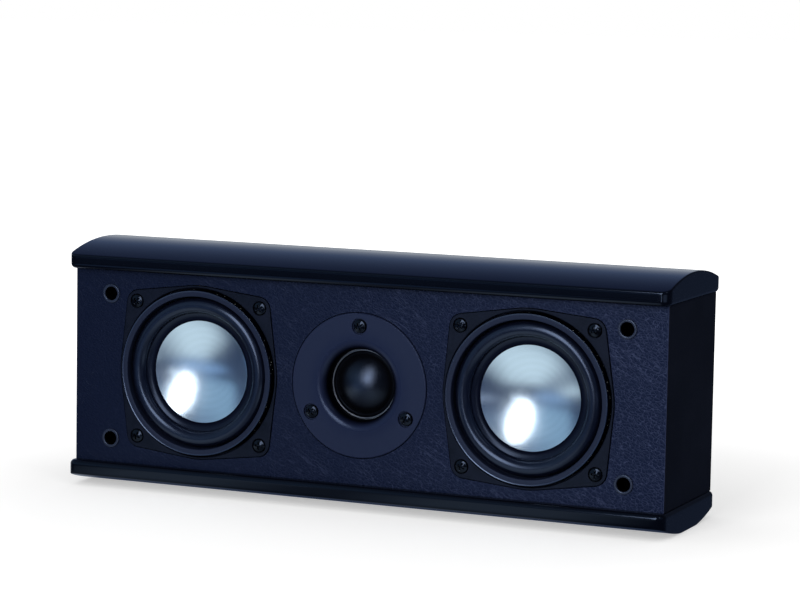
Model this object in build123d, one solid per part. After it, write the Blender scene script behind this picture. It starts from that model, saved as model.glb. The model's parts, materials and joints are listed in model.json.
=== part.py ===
"""Center channel loudspeaker: two woofers and a dome tweeter in a wrapped box between arched lacquered caps.

Millimetres. X runs along the cabinet, the front faces -Y and Z is up. The origin lies under the middle
of the caps, on the flat land that the speaker stands on.
"""
import os
from math import sqrt

from build123d import *

# Cabinet
CABINET_WIDTH = 355.0
CABINET_HEIGHT = 110.0
CABINET_DEPTH = 80.0
BAFFLE_THICKNESS = 12.0
SIDE_THICKNESS = 12.0
DECK_THICKNESS = 9.0
REAR_THICKNESS = 9.0
WRAP_RADIUS = 0.8

# Caps
CAP_FRONT_OVERHANG = 6.4
CAP_REAR_OVERHANG = 1.6
CAP_END_OVERHANG = 1.9
CAP_EDGE_HEIGHT = 7.8
CAP_CROWN = 15.2
CAP_CORNER_RADIUS = 5.0
CAP_FOOT_RADIUS = 2.6
CAP_ARRIS_RADIUS = 0.8
REST_LAND_DEPTH = 25.0

# Where the drivers and the grille sockets sit on the baffle, as shares of the room left beside them
DRIVER_GAP_SHARE = 0.253
SOCKET_SHARE = 0.388
SOCKET_Z = 41.45
LEFT_WOOFER_TURN = 0.4
RIGHT_WOOFER_TURN = 1.65

# Fits
REBATE_GAP = 0.4
HOLE_CLEARANCE = 0.15
RUNNING_GAP = 0.4
CUTOUT_GAP = 0.5

# Grille sockets
SOCKET_RIM_RADIUS = 5.35
SOCKET_RIM_HEIGHT = 0.9
SOCKET_BARREL_RADIUS = 4.7
SOCKET_BORE_RADIUS = 3.85
SOCKET_BORE_DEPTH = 9.5
SOCKET_FLOOR = 1.2

# Woofer frame
FLANGE_RADIUS = 49.0
FLANGE_CORNER_OFFSET = 37.4
FLANGE_CORNER_RADIUS = 7.4
FLANGE_THICKNESS = 3.0
FLANGE_PROUD = 0.6
FLANGE_EDGE_RADIUS = 0.35
WOOFER_SCREW_OFFSET = 38.5
WELL_RADIUS = 47.7
WELL_DEPTH = 4.6
WELL_WALL = 0.9
WELL_CHAMFER = 0.5
SEAT_WIDTH = 6.4
FRAME_WALL = 2.2
BASKET_RADIUS = 45.2
BASKET_DEPTH = 25.0
BASE_RADIUS = 33.5
BASE_THICKNESS = 2.5
BASE_HOLE_RADIUS = 16.0
SPIDER_SHELF_HEIGHT = 4.0
SPIDER_SHELF_WIDTH = 4.0
WINDOW_WIDTH = 38.0
WINDOW_HEIGHT = 10.0
WINDOW_CORNER = 2.5

# Woofer soft parts and cone
GASKET_OUTER = 47.0
GASKET_TOP_OUTER = 46.5
GASKET_INNER = 43.2
GASKET_RISE = 2.9
GASKET_EDGE_RADIUS = 0.6
RUBBER = 0.8
ROLL_OUTER = 42.3
ROLL_INNER = 33.5
ROLL_CREST_RISE = 1.7
ROLL_NECK = 0.2
LIP_DROP = 0.1
LIP_INNER = 28.9
CONE_RIM_RADIUS = 31.4
CONE_DISH_DEPTH = 8.0
CONE_THICKNESS = 0.6
SPIDER_INNER_GAP = 0.15
SPIDER_THICKNESS = 0.5
SPIDER_WAVE = 1.3
SPIDER_WAVES = 3

# Woofer motor
FORMER_RADIUS = 12.6
FORMER_WALL = 0.3
WINDING_WALL = 0.6
WINDING_LENGTH = 8.0
FORMER_TAIL = 1.0
WOOFER_PLATE_THICKNESS = 5.0
WOOFER_MAGNET_RADIUS = 35.0
WOOFER_MAGNET_HOLE = 18.0
WOOFER_MAGNET_THICKNESS = 12.0
WOOFER_BACK_THICKNESS = 5.0

# Tweeter
PLATE_RADIUS = 40.25
PLATE_THICKNESS = 4.0
PLATE_PROUD = 0.6
PLATE_EDGE_RADIUS = 0.7
MOUTH_RADIUS = 25.2
THROAT_RADIUS = 19.5
MOUTH_DEPTH = 7.0
PLATE_BOSS_RADIUS = 30.0
PLATE_BOSS_DEPTH = 8.6
TRIM_INNER = 18.2
TRIM_THICKNESS = 0.6
DOME_RADIUS = 13.9
DOME_RISE = 6.2
DOME_CLOTH = 0.4
DOME_ROLL_OUTER = 17.2
DOME_ROLL_RISE = 1.3
TWEETER_SCREW_RADIUS = 32.8
TWEETER_FORMER_RADIUS = 12.9
TWEETER_COIL_LENGTH = 2.6
TWEETER_PLATE_THICKNESS = 3.0
TWEETER_MAGNET_HOLE = 17.0
TWEETER_MAGNET_THICKNESS = 7.0
TWEETER_BACK_THICKNESS = 3.5

# Screws
SCREW_HEAD_RADIUS = 3.8
SCREW_HEAD_HEIGHT = 2.3
SCREW_HEAD_CROWN = 0.8
SCREW_SHANK_RADIUS = 1.7
SCREW_LENGTH = 12.5
CROSS_LENGTH = 4.2
CROSS_WIDTH = 0.9
CROSS_DEPTH = 1.3
WOOFER_SCREW_POCKET_RADIUS = 4.2
TWEETER_SCREW_POCKET_RADIUS = 4.6
SCREW_POCKET_DEPTH = 1.4

# Driver terminals
STRIP_WIDTH = 13.0
STRIP_DEPTH = 3.0
STRIP_HEIGHT = 3.5
LUG_SPACING = 7.0
LUG_WIDTH = 2.8
LUG_LENGTH = 6.5
LUG_THICKNESS = 0.8

# Terminal cup on the rear panel
CUP_WIDTH = 62.0
CUP_HEIGHT = 44.0
CUP_DEPTH = 16.0
CUP_CORNER = 9.0
CUP_TAPER = 8.0
CUP_WALL = 2.0
CUP_FLANGE_WIDTH = 7.5
CUP_FLANGE_THICKNESS = 2.0
CUP_SCREW_HEAD_RADIUS = 2.7
CUP_SCREW_HEAD_HEIGHT = 1.1
CUP_SCREW_SHANK_RADIUS = 1.2
CUP_SCREW_LENGTH = 8.5

# Binding posts
POST_SPACING = 19.05
POST_RADIUS = 3.0
POST_LENGTH = 14.5
POST_BORE_RADIUS = 2.0
POST_BORE_DEPTH = 12.0
POST_TAIL = 10.5
COLLAR_RADIUS = 6.2
COLLAR_HEIGHT = 2.0
SHOULDER_RADIUS = 5.2
SHOULDER_HEIGHT = 1.0
BUSH_WALL = 1.5
KNOB_SEAT_GAP = 0.2
KNOB_RADIUS = 6.4
KNOB_LENGTH = 9.0
KNOB_END = 1.2
KNOB_FLUTES = 12
KNOB_FLUTE_RADIUS = 0.9
KNOB_EDGE = 0.5
NUT_ACROSS_FLATS = 10.0
NUT_THICKNESS = 3.0

# Crossover
BOARD_WIDTH = 62.0
BOARD_HEIGHT = 46.0
BOARD_THICKNESS = 1.6
COIL_RADIUS = 9.0
COIL_CORE_RADIUS = 5.0
COIL_WINDING_RADIUS = 8.2
COIL_HEIGHT = 13.0
COIL_FLANGE = 1.4
COIL_X = -20.5
COIL_Z = -12.5
CAPACITOR_RADIUS = 5.0
CAPACITOR_HEIGHT = 16.0
CAPACITOR_SPACING = 13.0
CAPACITOR_X = 10.5
CAPACITOR_Z = 15.0
RESISTOR_LENGTH = 22.0
RESISTOR_WIDTH = 7.5
RESISTOR_X = 15.0
RESISTOR_Z = -14.0

# Places that follow from the sizes above
CAP_LENGTH = CABINET_WIDTH + 2 * CAP_END_OVERHANG
CAP_DEPTH = CAP_FRONT_OVERHANG + CABINET_DEPTH + CAP_REAR_OVERHANG
FRONT_Y = CAP_FRONT_OVERHANG - CAP_DEPTH / 2
REAR_Y = FRONT_Y + CABINET_DEPTH
INNER_WIDTH = CABINET_WIDTH - 2 * SIDE_THICKNESS
INNER_HEIGHT = CABINET_HEIGHT - 2 * DECK_THICKNESS
CAP_RISE = CAP_CROWN - CAP_EDGE_HEIGHT
ARCH_RADIUS = (CAP_DEPTH**2 / 4 + CAP_RISE**2) / (2 * CAP_RISE)
LAND_CUT = ARCH_RADIUS - sqrt(ARCH_RADIUS**2 - REST_LAND_DEPTH**2 / 4)
BOX_Z = CAP_CROWN - LAND_CUT
AXIS_Z = BOX_Z + CABINET_HEIGHT / 2

DRIVER_ROOM = CABINET_WIDTH / 2 - PLATE_RADIUS - 2 * FLANGE_RADIUS
WOOFER_X = PLATE_RADIUS + DRIVER_GAP_SHARE * DRIVER_ROOM + FLANGE_RADIUS
SOCKET_DEPTH = SOCKET_BORE_DEPTH + SOCKET_FLOOR - SOCKET_RIM_HEIGHT
SOCKET_LEAST_X = WOOFER_X + FLANGE_CORNER_OFFSET + FLANGE_CORNER_RADIUS + SOCKET_RIM_RADIUS
SOCKET_MOST_X = CABINET_WIDTH / 2 - SOCKET_DEPTH - SOCKET_BARREL_RADIUS
SOCKET_X = SOCKET_LEAST_X + SOCKET_SHARE * (SOCKET_MOST_X - SOCKET_LEAST_X)

SEAT_Z = FLANGE_PROUD - WELL_DEPTH
BASE_Z = -BASKET_DEPTH
SHELF_Z = BASE_Z + BASE_THICKNESS + SPIDER_SHELF_HEIGHT
SHELF_INNER = BASE_RADIUS - FRAME_WALL - SPIDER_SHELF_WIDTH
ROLL_CREST_Z = FLANGE_PROUD + ROLL_CREST_RISE
ROLL_MIDDLE = (ROLL_OUTER + ROLL_INNER) / 2
ROLL_FOOT_Z = ROLL_CREST_Z - (ROLL_OUTER - ROLL_INNER) / 2
LIP_Z = SEAT_Z - LIP_DROP
LIP_SLOPE = (ROLL_FOOT_Z - ROLL_NECK - RUBBER - LIP_Z) / (ROLL_INNER - LIP_INNER)
CONE_RADIUS = (LIP_INNER**2 + CONE_DISH_DEPTH**2) / (2 * CONE_DISH_DEPTH)
COIL_OUTER = FORMER_RADIUS + FORMER_WALL + WINDING_WALL
GAP_Z = BASE_Z - WOOFER_PLATE_THICKNESS / 2
FORMER_END_Z = GAP_Z - WINDING_LENGTH / 2 - FORMER_TAIL

BOSS_Z = PLATE_PROUD - PLATE_BOSS_DEPTH
TRIM_OUTER = THROAT_RADIUS - HOLE_CLEARANCE
DOME_RIM_Z = BOSS_Z + DOME_CLOTH
DOME_SPHERE = (DOME_RADIUS**2 + DOME_RISE**2) / (2 * DOME_RISE)
TWEETER_COIL_OUTER = TWEETER_FORMER_RADIUS + FORMER_WALL + WINDING_WALL
TWEETER_MAGNET_Z = BOSS_Z - TWEETER_PLATE_THICKNESS
TWEETER_BACK_Z = TWEETER_MAGNET_Z - TWEETER_MAGNET_THICKNESS

CUP_FLOOR_Z = -CUP_DEPTH
BOARD_Z = CUP_FLOOR_Z - CUP_WALL - NUT_THICKNESS - BOARD_THICKNESS
SHOULDER_Z = CUP_FLOOR_Z + COLLAR_HEIGHT
KNOB_Z = SHOULDER_Z + SHOULDER_HEIGHT + KNOB_SEAT_GAP
BUSH_RADIUS = POST_RADIUS + HOLE_CLEARANCE + BUSH_WALL


def front_place(x, z=0.0, turn=0.0):
    """The frame of a piece on the baffle: its own Z points out of the front, its X to the right."""
    face = Plane((x, FRONT_Y, AXIS_Z + z), x_dir=(1, 0, 0), z_dir=(0, -1, 0))
    return face.location * Rot(Z=turn)


def rear_place():
    """The frame of a piece on the rear panel: its own Z points out of the back, its Y up."""
    return Plane((0, REAR_Y, AXIS_Z), x_dir=(-1, 0, 0), z_dir=(0, 1, 0)).location


def turned(outline):
    """Solid of revolution about Z from a closed outline of (radius, height)."""
    return revolve(Plane.XZ * make_face(outline), Axis.Z)


def ring(inner, outer, low, high):
    """A plain ring between two radii and two heights."""
    return Pos(0, 0, low) * extrude(Circle(outer) - Circle(inner), high - low)


def disc(radius, low, high):
    """A plain disc between two heights."""
    return Pos(0, 0, low) * extrude(Circle(radius), high - low)


def square_corners(offset):
    """The four corners of a square around the axis."""
    return [(sx * offset, sy * offset) for sx in (-1, 1) for sy in (-1, 1)]


def board(width, depth, height, y, z):
    """A board centred on X, from y backwards and from z upwards."""
    return Pos(0, y, z) * Box(width, depth, height, align=(Align.CENTER, Align.MIN, Align.MIN))


def upright(outline):
    """A cabinet board that stands from the lower cap to the upper, from its plan outline."""
    return Pos(0, FRONT_Y, BOX_Z) * extrude(make_face(outline), CABINET_HEIGHT)


def screw(head_radius, head_height, crown, shank_radius, length):
    """A pan-head screw with a cross recess, its head seated at height 0."""
    head = turned(Polyline((0, 0), (head_radius, 0), (head_radius, head_height - crown),
                           (head_radius - crown, head_height), (0, head_height), close=True))
    shank = turned(Polyline((0, 0), (shank_radius, 0), (shank_radius, shank_radius - length),
                            (0, -length), close=True))
    depth = CROSS_DEPTH * head_height / SCREW_HEAD_HEIGHT
    length_across = CROSS_LENGTH * head_radius / SCREW_HEAD_RADIUS
    slot = Pos(0, 0, head_height) * Box(length_across, CROSS_WIDTH, 2 * depth)
    return head + shank - slot - Rot(Z=90) * slot


def driver_screw():
    return screw(SCREW_HEAD_RADIUS, SCREW_HEAD_HEIGHT, SCREW_HEAD_CROWN, SCREW_SHANK_RADIUS, SCREW_LENGTH)


def tweeter_screw_places():
    """Three places around the faceplate, the first at the top."""
    return PolarLocations(TWEETER_SCREW_RADIUS, 3, start_angle=90)


def flange_outline(gap=0.0):
    """The woofer's bulged square: straight tangents between a large circle and four corner circles."""
    corners = square_corners(FLANGE_CORNER_OFFSET)
    circles = [Edge.make_circle(FLANGE_RADIUS + gap)]
    circles += [Edge.make_circle(FLANGE_CORNER_RADIUS + gap).moved(Location((x, y, 0))) for x, y in corners]
    return make_hull(circles)


def cap():
    """An arched cap seen from the cabinet: foot at height 0, crown up, plan corners rounded."""
    half = CAP_DEPTH / 2
    arch = ThreePointArc((half, CAP_EDGE_HEIGHT), (0, CAP_CROWN), (-half, CAP_EDGE_HEIGHT))
    sides = Polyline((-half, CAP_EDGE_HEIGHT), (-half, 0), (half, 0), (half, CAP_EDGE_HEIGHT))
    body = extrude(Plane.YZ * make_face(arch + sides), CAP_LENGTH / 2, both=True)
    body = fillet(body.edges().filter_by(Axis.Z), CAP_CORNER_RADIUS)
    body = fillet(body.faces().sort_by(Axis.Z)[0].edges(), CAP_FOOT_RADIUS)
    top = body.faces().filter_by(GeomType.CYLINDER).sort_by(SortBy.AREA)[-1]
    return fillet(top.edges(), CAP_ARRIS_RADIUS)


def cabinet():
    """The wrapped box: mitred baffle and sides, decks under the caps, rear panel set in flush."""
    half, inner = CABINET_WIDTH / 2, INNER_WIDTH / 2
    wrap = extrude(RectangleRounded(CABINET_WIDTH, CABINET_DEPTH, WRAP_RADIUS), CABINET_HEIGHT)
    wrap = Pos(0, FRONT_Y + CABINET_DEPTH / 2, BOX_Z) * wrap
    baffle = upright(Polyline((-half, 0), (half, 0), (inner, BAFFLE_THICKNESS),
                              (-inner, BAFFLE_THICKNESS), close=True)) & wrap
    side = upright(Polyline((half, 0), (half, CABINET_DEPTH), (inner, CABINET_DEPTH),
                            (inner, BAFFLE_THICKNESS), close=True)) & wrap
    deck_depth = CABINET_DEPTH - BAFFLE_THICKNESS
    deck = board(INNER_WIDTH, deck_depth, DECK_THICKNESS, FRONT_Y + BAFFLE_THICKNESS, BOX_Z)
    rear = board(INNER_WIDTH, REAR_THICKNESS, INNER_HEIGHT, REAR_Y - REAR_THICKNESS, BOX_Z + DECK_THICKNESS)
    upper_cap = Pos(0, 0, BOX_Z + CABINET_HEIGHT) * cap()
    lower_cap = Pos(0, 0, BOX_Z) * mirror(cap(), Plane.XY)
    below = Box(CAP_LENGTH, CAP_DEPTH, CAP_CROWN, align=(Align.CENTER, Align.CENTER, Align.MAX))
    return {
        "front_baffle": baffle - baffle_cuts(),
        "left_side_panel": mirror(side, Plane.YZ),
        "right_side_panel": side,
        "top_deck": Pos(0, 0, CABINET_HEIGHT - DECK_THICKNESS) * deck,
        "bottom_deck": deck,
        "rear_panel": rear - rear_cuts(),
        "top_cap": upper_cap,
        "bottom_cap": lower_cap - below,
    }


def baffle_cuts():
    """Everything cut from the baffle: driver rebates and cut-outs, pilot holes and socket holes."""
    through = -BAFFLE_THICKNESS - CUTOUT_GAP
    pilot = disc(SCREW_SHANK_RADIUS + HOLE_CLEARANCE, through, 0)
    cuts = []
    for x, turn in ((-WOOFER_X, LEFT_WOOFER_TURN), (WOOFER_X, RIGHT_WOOFER_TURN)):
        place = front_place(x, turn=turn)
        rebate = extrude(flange_outline(REBATE_GAP), FLANGE_PROUD - FLANGE_THICKNESS)
        cuts += [place * rebate, place * disc(WELL_RADIUS + WELL_WALL + CUTOUT_GAP, through, 0)]
        cuts += [place * Pos(*corner) * pilot for corner in square_corners(WOOFER_SCREW_OFFSET)]
    place = front_place(0)
    cuts += [place * disc(PLATE_RADIUS + REBATE_GAP, PLATE_PROUD - PLATE_THICKNESS, 0)]
    cuts += [place * disc(PLATE_BOSS_RADIUS + CUTOUT_GAP, through, 0)]
    cuts += [place * spot * pilot for spot in tweeter_screw_places()]
    socket_hole = disc(SOCKET_BARREL_RADIUS + HOLE_CLEARANCE, through, 0)
    cuts += [front_place(x, z) * socket_hole for x, z in socket_places().values()]
    return cuts


def rear_cuts():
    """The terminal cup's cut-out and its screws' pilot holes."""
    opening = cup_outline(CUP_WALL + HOLE_CLEARANCE)
    pilot = disc(CUP_SCREW_SHANK_RADIUS + HOLE_CLEARANCE, -REAR_THICKNESS, 0)
    cuts = [extrude(opening, -REAR_THICKNESS)] + [spot * pilot for spot in cup_screw_places()]
    return [rear_place() * cut for cut in cuts]


def socket_places():
    """Where the four grille sockets sit, by name."""
    return {f"grille_socket_{row}_{side}": (sx * SOCKET_X, sz * SOCKET_Z)
            for row, sz in (("upper", 1), ("lower", -1)) for side, sx in (("left", -1), ("right", 1))}


def grille_socket():
    """A blind cup with a rounded rim that stands on the baffle."""
    lip = SOCKET_RIM_RADIUS - SOCKET_BORE_RADIUS
    rim = ThreePointArc((SOCKET_RIM_RADIUS, 0), (SOCKET_RIM_RADIUS - lip / 2, SOCKET_RIM_HEIGHT),
                        (SOCKET_BORE_RADIUS, 0))
    floor = SOCKET_RIM_HEIGHT - SOCKET_BORE_DEPTH
    cup = Polyline((SOCKET_BORE_RADIUS, 0), (SOCKET_BORE_RADIUS, floor), (0, floor),
                   (0, floor - SOCKET_FLOOR), (SOCKET_BARREL_RADIUS, floor - SOCKET_FLOOR),
                   (SOCKET_BARREL_RADIUS, 0), (SOCKET_RIM_RADIUS, 0))
    return turned(rim + cup)


def woofer_frame():
    """Flange, well for the gasket, open basket with four windows, spider shelf and base."""
    flange_back = FLANGE_PROUD - FLANGE_THICKNESS
    flange = Pos(0, 0, flange_back) * extrude(flange_outline(), FLANGE_THICKNESS)
    flange -= disc(WELL_RADIUS, flange_back, FLANGE_PROUD)
    rims = flange.edges().group_by(Axis.Z)[-1].sort_by(SortBy.LENGTH)
    flange = chamfer(rims[-1], WELL_CHAMFER)
    rims = flange.faces().sort_by(Axis.Z)[-1].outer_wire().edges()
    flange = fillet(rims, FLANGE_EDGE_RADIUS)
    seat_inner = WELL_RADIUS - SEAT_WIDTH
    seat_back = SEAT_Z - FRAME_WALL
    well_outer = WELL_RADIUS + WELL_WALL
    basket = turned(Polyline(
        (seat_inner, SEAT_Z), (WELL_RADIUS, SEAT_Z), (WELL_RADIUS, flange_back),
        (well_outer, flange_back), (well_outer, seat_back), (BASKET_RADIUS, seat_back),
        (BASE_RADIUS, SHELF_Z), (BASE_RADIUS, BASE_Z), (BASE_HOLE_RADIUS, BASE_Z),
        (BASE_HOLE_RADIUS, BASE_Z + BASE_THICKNESS), (SHELF_INNER, BASE_Z + BASE_THICKNESS),
        (SHELF_INNER, SHELF_Z), (BASE_RADIUS - FRAME_WALL, SHELF_Z), (seat_inner, seat_back), close=True))
    window = Plane.YZ * RectangleRounded(WINDOW_WIDTH, WINDOW_HEIGHT, WINDOW_CORNER)
    window_z = (seat_back + SHELF_Z) / 2
    cutter = Pos(0, 0, window_z) * extrude(window, BASKET_RADIUS + CUTOUT_GAP)
    pocket = disc(WOOFER_SCREW_POCKET_RADIUS, FLANGE_PROUD - SCREW_POCKET_DEPTH, FLANGE_PROUD)
    hole = disc(SCREW_SHANK_RADIUS + HOLE_CLEARANCE, flange_back, FLANGE_PROUD)
    cuts = [Rot(Z=90 * i) * cutter for i in range(4)]
    cuts += [Pos(*corner) * (pocket + hole) for corner in square_corners(WOOFER_SCREW_OFFSET)]
    return flange + basket - cuts


def gasket_ring():
    """The raised rubber ring that clamps the surround's outer lip in the well."""
    low, high = SEAT_Z + RUBBER, FLANGE_PROUD + GASKET_RISE
    body = turned(Polyline((GASKET_INNER, low), (GASKET_OUTER, low), (GASKET_TOP_OUTER, high),
                           (GASKET_INNER, high), close=True))
    return fillet(body.edges().filter_by(GeomType.CIRCLE).group_by(Axis.Z)[-1], GASKET_EDGE_RADIUS)


def surround():
    """Half-roll rubber surround: flat outer lip in the well, round roll, sloping inner lip on the cone's rim."""
    front = ThreePointArc((ROLL_OUTER, ROLL_FOOT_Z), (ROLL_MIDDLE, ROLL_CREST_Z), (ROLL_INNER, ROLL_FOOT_Z))
    back = ThreePointArc((ROLL_OUTER - RUBBER, ROLL_FOOT_Z), (ROLL_MIDDLE, ROLL_CREST_Z - RUBBER),
                         (ROLL_INNER + RUBBER, ROLL_FOOT_Z))
    outer_lip = Polyline((ROLL_OUTER, ROLL_FOOT_Z), (ROLL_OUTER, SEAT_Z + RUBBER),
                         (GASKET_OUTER, SEAT_Z + RUBBER), (GASKET_OUTER, SEAT_Z),
                         (ROLL_OUTER - RUBBER, SEAT_Z), (ROLL_OUTER - RUBBER, ROLL_FOOT_Z))
    inner_lip = Polyline((ROLL_INNER, ROLL_FOOT_Z), (ROLL_INNER, lip_z(ROLL_INNER) + RUBBER),
                         (LIP_INNER, LIP_Z + RUBBER), (LIP_INNER, LIP_Z),
                         (ROLL_INNER + RUBBER, lip_z(ROLL_INNER + RUBBER)), (ROLL_INNER + RUBBER, ROLL_FOOT_Z))
    return turned(front + back + outer_lip + inner_lip)


def lip_z(radius):
    """Height of the sloping face where the surround's inner lip rests on the cone's rim."""
    return LIP_Z + LIP_SLOPE * (radius - LIP_INNER)


def dish(rim_z):
    """The cone's dish in section: an arc from the middle out to the lip's edge."""
    middle = LIP_INNER / 2
    bottom = rim_z - CONE_DISH_DEPTH
    middle_z = bottom + CONE_RADIUS - sqrt(CONE_RADIUS**2 - middle**2)
    return ThreePointArc((0, bottom), (middle, middle_z), (LIP_INNER, rim_z))


def woofer_cone():
    """One-piece dished cone of thin metal with a shallow rim under the surround's lip."""
    back_z = LIP_Z - CONE_THICKNESS
    rim_z = lip_z(CONE_RIM_RADIUS)
    rim = Polyline((LIP_INNER, LIP_Z), (CONE_RIM_RADIUS, rim_z), (CONE_RIM_RADIUS, rim_z - CONE_THICKNESS),
                   (LIP_INNER, back_z))
    axis = Line((0, LIP_Z - CONE_DISH_DEPTH), (0, back_z - CONE_DISH_DEPTH))
    return turned(dish(LIP_Z) + rim + dish(back_z) + axis)


def coil_former():
    """The tube from the back of the cone down into the magnet's gap."""
    back_z = LIP_Z - CONE_THICKNESS
    outer = FORMER_RADIUS + FORMER_WALL
    above = Polyline((LIP_INNER, back_z), (0, back_z), (0, back_z - CONE_DISH_DEPTH))
    in_front = turned(dish(back_z) + above)
    return ring(FORMER_RADIUS, outer, FORMER_END_Z, back_z) - in_front


def spider():
    """The corrugated cloth disc that centres the former: a flat rim, waves and a flat neck."""
    outer = BASE_RADIUS - FRAME_WALL - HOLE_CLEARANCE
    neck = FORMER_RADIUS + FORMER_WALL + SPIDER_INNER_GAP
    steps = 2 * SPIDER_WAVES + 1
    pitch = (SHELF_INNER - neck) / (steps + 1)
    waves = [(SHELF_INNER - pitch * (i + 1), SPIDER_WAVE if i % 2 else 0) for i in range(steps)]
    section = [(outer, 0), (SHELF_INNER, 0), *waves[1:], (neck, 0)]
    low = [(r, SHELF_Z + z) for r, z in section]
    high = [(r, z + SPIDER_THICKNESS) for r, z in reversed(low)]
    return turned(Polyline(*low, *high, close=True))


def terminals(seat_radius, low):
    """An insulating strip seated on a round wall, with two solder lugs."""
    reach = seat_radius + STRIP_DEPTH
    strip = Box(reach, STRIP_WIDTH, STRIP_HEIGHT, align=(Align.MIN, Align.CENTER, Align.MIN))
    strip -= disc(seat_radius, 0, STRIP_HEIGHT)
    lug = Box(LUG_LENGTH, LUG_WIDTH, LUG_THICKNESS, align=(Align.MIN, Align.CENTER, Align.CENTER))
    lugs = [Pos(reach, side * LUG_SPACING / 2, STRIP_HEIGHT / 2) * lug for side in (-1, 1)]
    return Pos(0, 0, low) * (strip + lugs)


def motor(plate_z, plate_thickness, plate_radius, coil_outer, pole_radius, magnet_radius, magnet_hole,
          magnet_thickness, back_thickness):
    """Front plate, ring magnet and yoke of a driver, stacked backwards from plate_z."""
    magnet_z = plate_z - plate_thickness
    back_z = magnet_z - magnet_thickness
    plate = ring(coil_outer + RUNNING_GAP, plate_radius, magnet_z, plate_z)
    magnet = ring(magnet_hole, magnet_radius, back_z, magnet_z)
    yoke = disc(plate_radius, back_z - back_thickness, back_z) + disc(pole_radius, back_z, plate_z)
    return {"front_plate": plate, "magnet": magnet, "yoke": yoke}


def woofer(side, x, turn):
    """All the pieces of one woofer, in place."""
    coil_inner = FORMER_RADIUS + FORMER_WALL
    inward = 0 if x < 0 else 180
    screw_seat = FLANGE_PROUD - SCREW_POCKET_DEPTH
    corners = square_corners(WOOFER_SCREW_OFFSET)
    pieces = {
        "frame": woofer_frame(),
        "gasket_ring": gasket_ring(),
        "surround": surround(),
        "cone": woofer_cone(),
        "coil_former": coil_former(),
        "voice_coil": ring(coil_inner, COIL_OUTER, GAP_Z - WINDING_LENGTH / 2, GAP_Z + WINDING_LENGTH / 2),
        "spider": spider(),
        "terminals": Rot(Z=inward) * terminals(BASE_RADIUS, BASE_Z),
        "screws": Part() + [Pos(*corner, screw_seat) * driver_screw() for corner in corners],
    }
    pieces |= motor(BASE_Z, WOOFER_PLATE_THICKNESS, BASE_RADIUS, COIL_OUTER, FORMER_RADIUS - RUNNING_GAP,
                    WOOFER_MAGNET_RADIUS, WOOFER_MAGNET_HOLE, WOOFER_MAGNET_THICKNESS, WOOFER_BACK_THICKNESS)
    place = front_place(x, turn=turn)
    return {f"{side}_woofer_{name}": place * piece for name, piece in pieces.items()}


def faceplate():
    """The tweeter's plate: rounded edge, flared mouth, boss at the back and three screw pockets."""
    plate_back, throat_z = PLATE_PROUD - PLATE_THICKNESS, PLATE_PROUD - MOUTH_DEPTH
    flare = EllipticalCenterArc((MOUTH_RADIUS, throat_z), MOUTH_RADIUS - THROAT_RADIUS, MOUTH_DEPTH,
                                start_angle=90, arc_size=90)
    rest = Polyline((THROAT_RADIUS, throat_z), (THROAT_RADIUS, BOSS_Z), (PLATE_BOSS_RADIUS, BOSS_Z),
                    (PLATE_BOSS_RADIUS, plate_back), (PLATE_RADIUS, plate_back), (PLATE_RADIUS, PLATE_PROUD),
                    (MOUTH_RADIUS, PLATE_PROUD))
    body = turned(flare + rest)
    rims = body.edges().filter_by(GeomType.CIRCLE).group_by(Axis.Z)[-1]
    body = fillet([e for e in rims if abs(e.radius - PLATE_RADIUS) < HOLE_CLEARANCE], PLATE_EDGE_RADIUS)
    pocket = disc(TWEETER_SCREW_POCKET_RADIUS, PLATE_PROUD - SCREW_POCKET_DEPTH, PLATE_PROUD)
    hole = disc(SCREW_SHANK_RADIUS + HOLE_CLEARANCE, plate_back, PLATE_PROUD)
    return body - [spot * (pocket + hole) for spot in tweeter_screw_places()]


def dome_section(z):
    """The dome in section at height z: rim, half-roll and dome, from the rim to the axis."""
    roll_middle = (DOME_ROLL_OUTER + DOME_RADIUS) / 2
    middle = DOME_RADIUS / 2
    middle_z = z + DOME_RISE - DOME_SPHERE + sqrt(DOME_SPHERE**2 - middle**2)
    rim = Line((TRIM_OUTER, z), (DOME_ROLL_OUTER, z))
    roll = ThreePointArc((DOME_ROLL_OUTER, z), (roll_middle, z + DOME_ROLL_RISE), (DOME_RADIUS, z))
    return rim + roll + ThreePointArc((DOME_RADIUS, z), (middle, middle_z), (0, z + DOME_RISE))


def dome():
    """The soft dome, moulded in one with its roll and its flat rim."""
    edge = Line((TRIM_OUTER, BOSS_Z), (TRIM_OUTER, DOME_RIM_Z))
    axis = Line((0, BOSS_Z + DOME_RISE), (0, DOME_RIM_Z + DOME_RISE))
    return turned(dome_section(DOME_RIM_Z) + dome_section(BOSS_Z) + edge + axis)


def tweeter_coil():
    """Former and winding in one, its outer edge up against the inside of the dome."""
    outer = TWEETER_FORMER_RADIUS + FORMER_WALL
    rise = sqrt(DOME_SPHERE**2 - outer**2) - sqrt(DOME_SPHERE**2 - DOME_RADIUS**2)
    middle = BOSS_Z - TWEETER_PLATE_THICKNESS / 2
    low, high = middle - TWEETER_COIL_LENGTH / 2, middle + TWEETER_COIL_LENGTH / 2
    return ring(TWEETER_FORMER_RADIUS, outer, low, BOSS_Z + rise) + ring(outer, TWEETER_COIL_OUTER, low, high)


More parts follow.
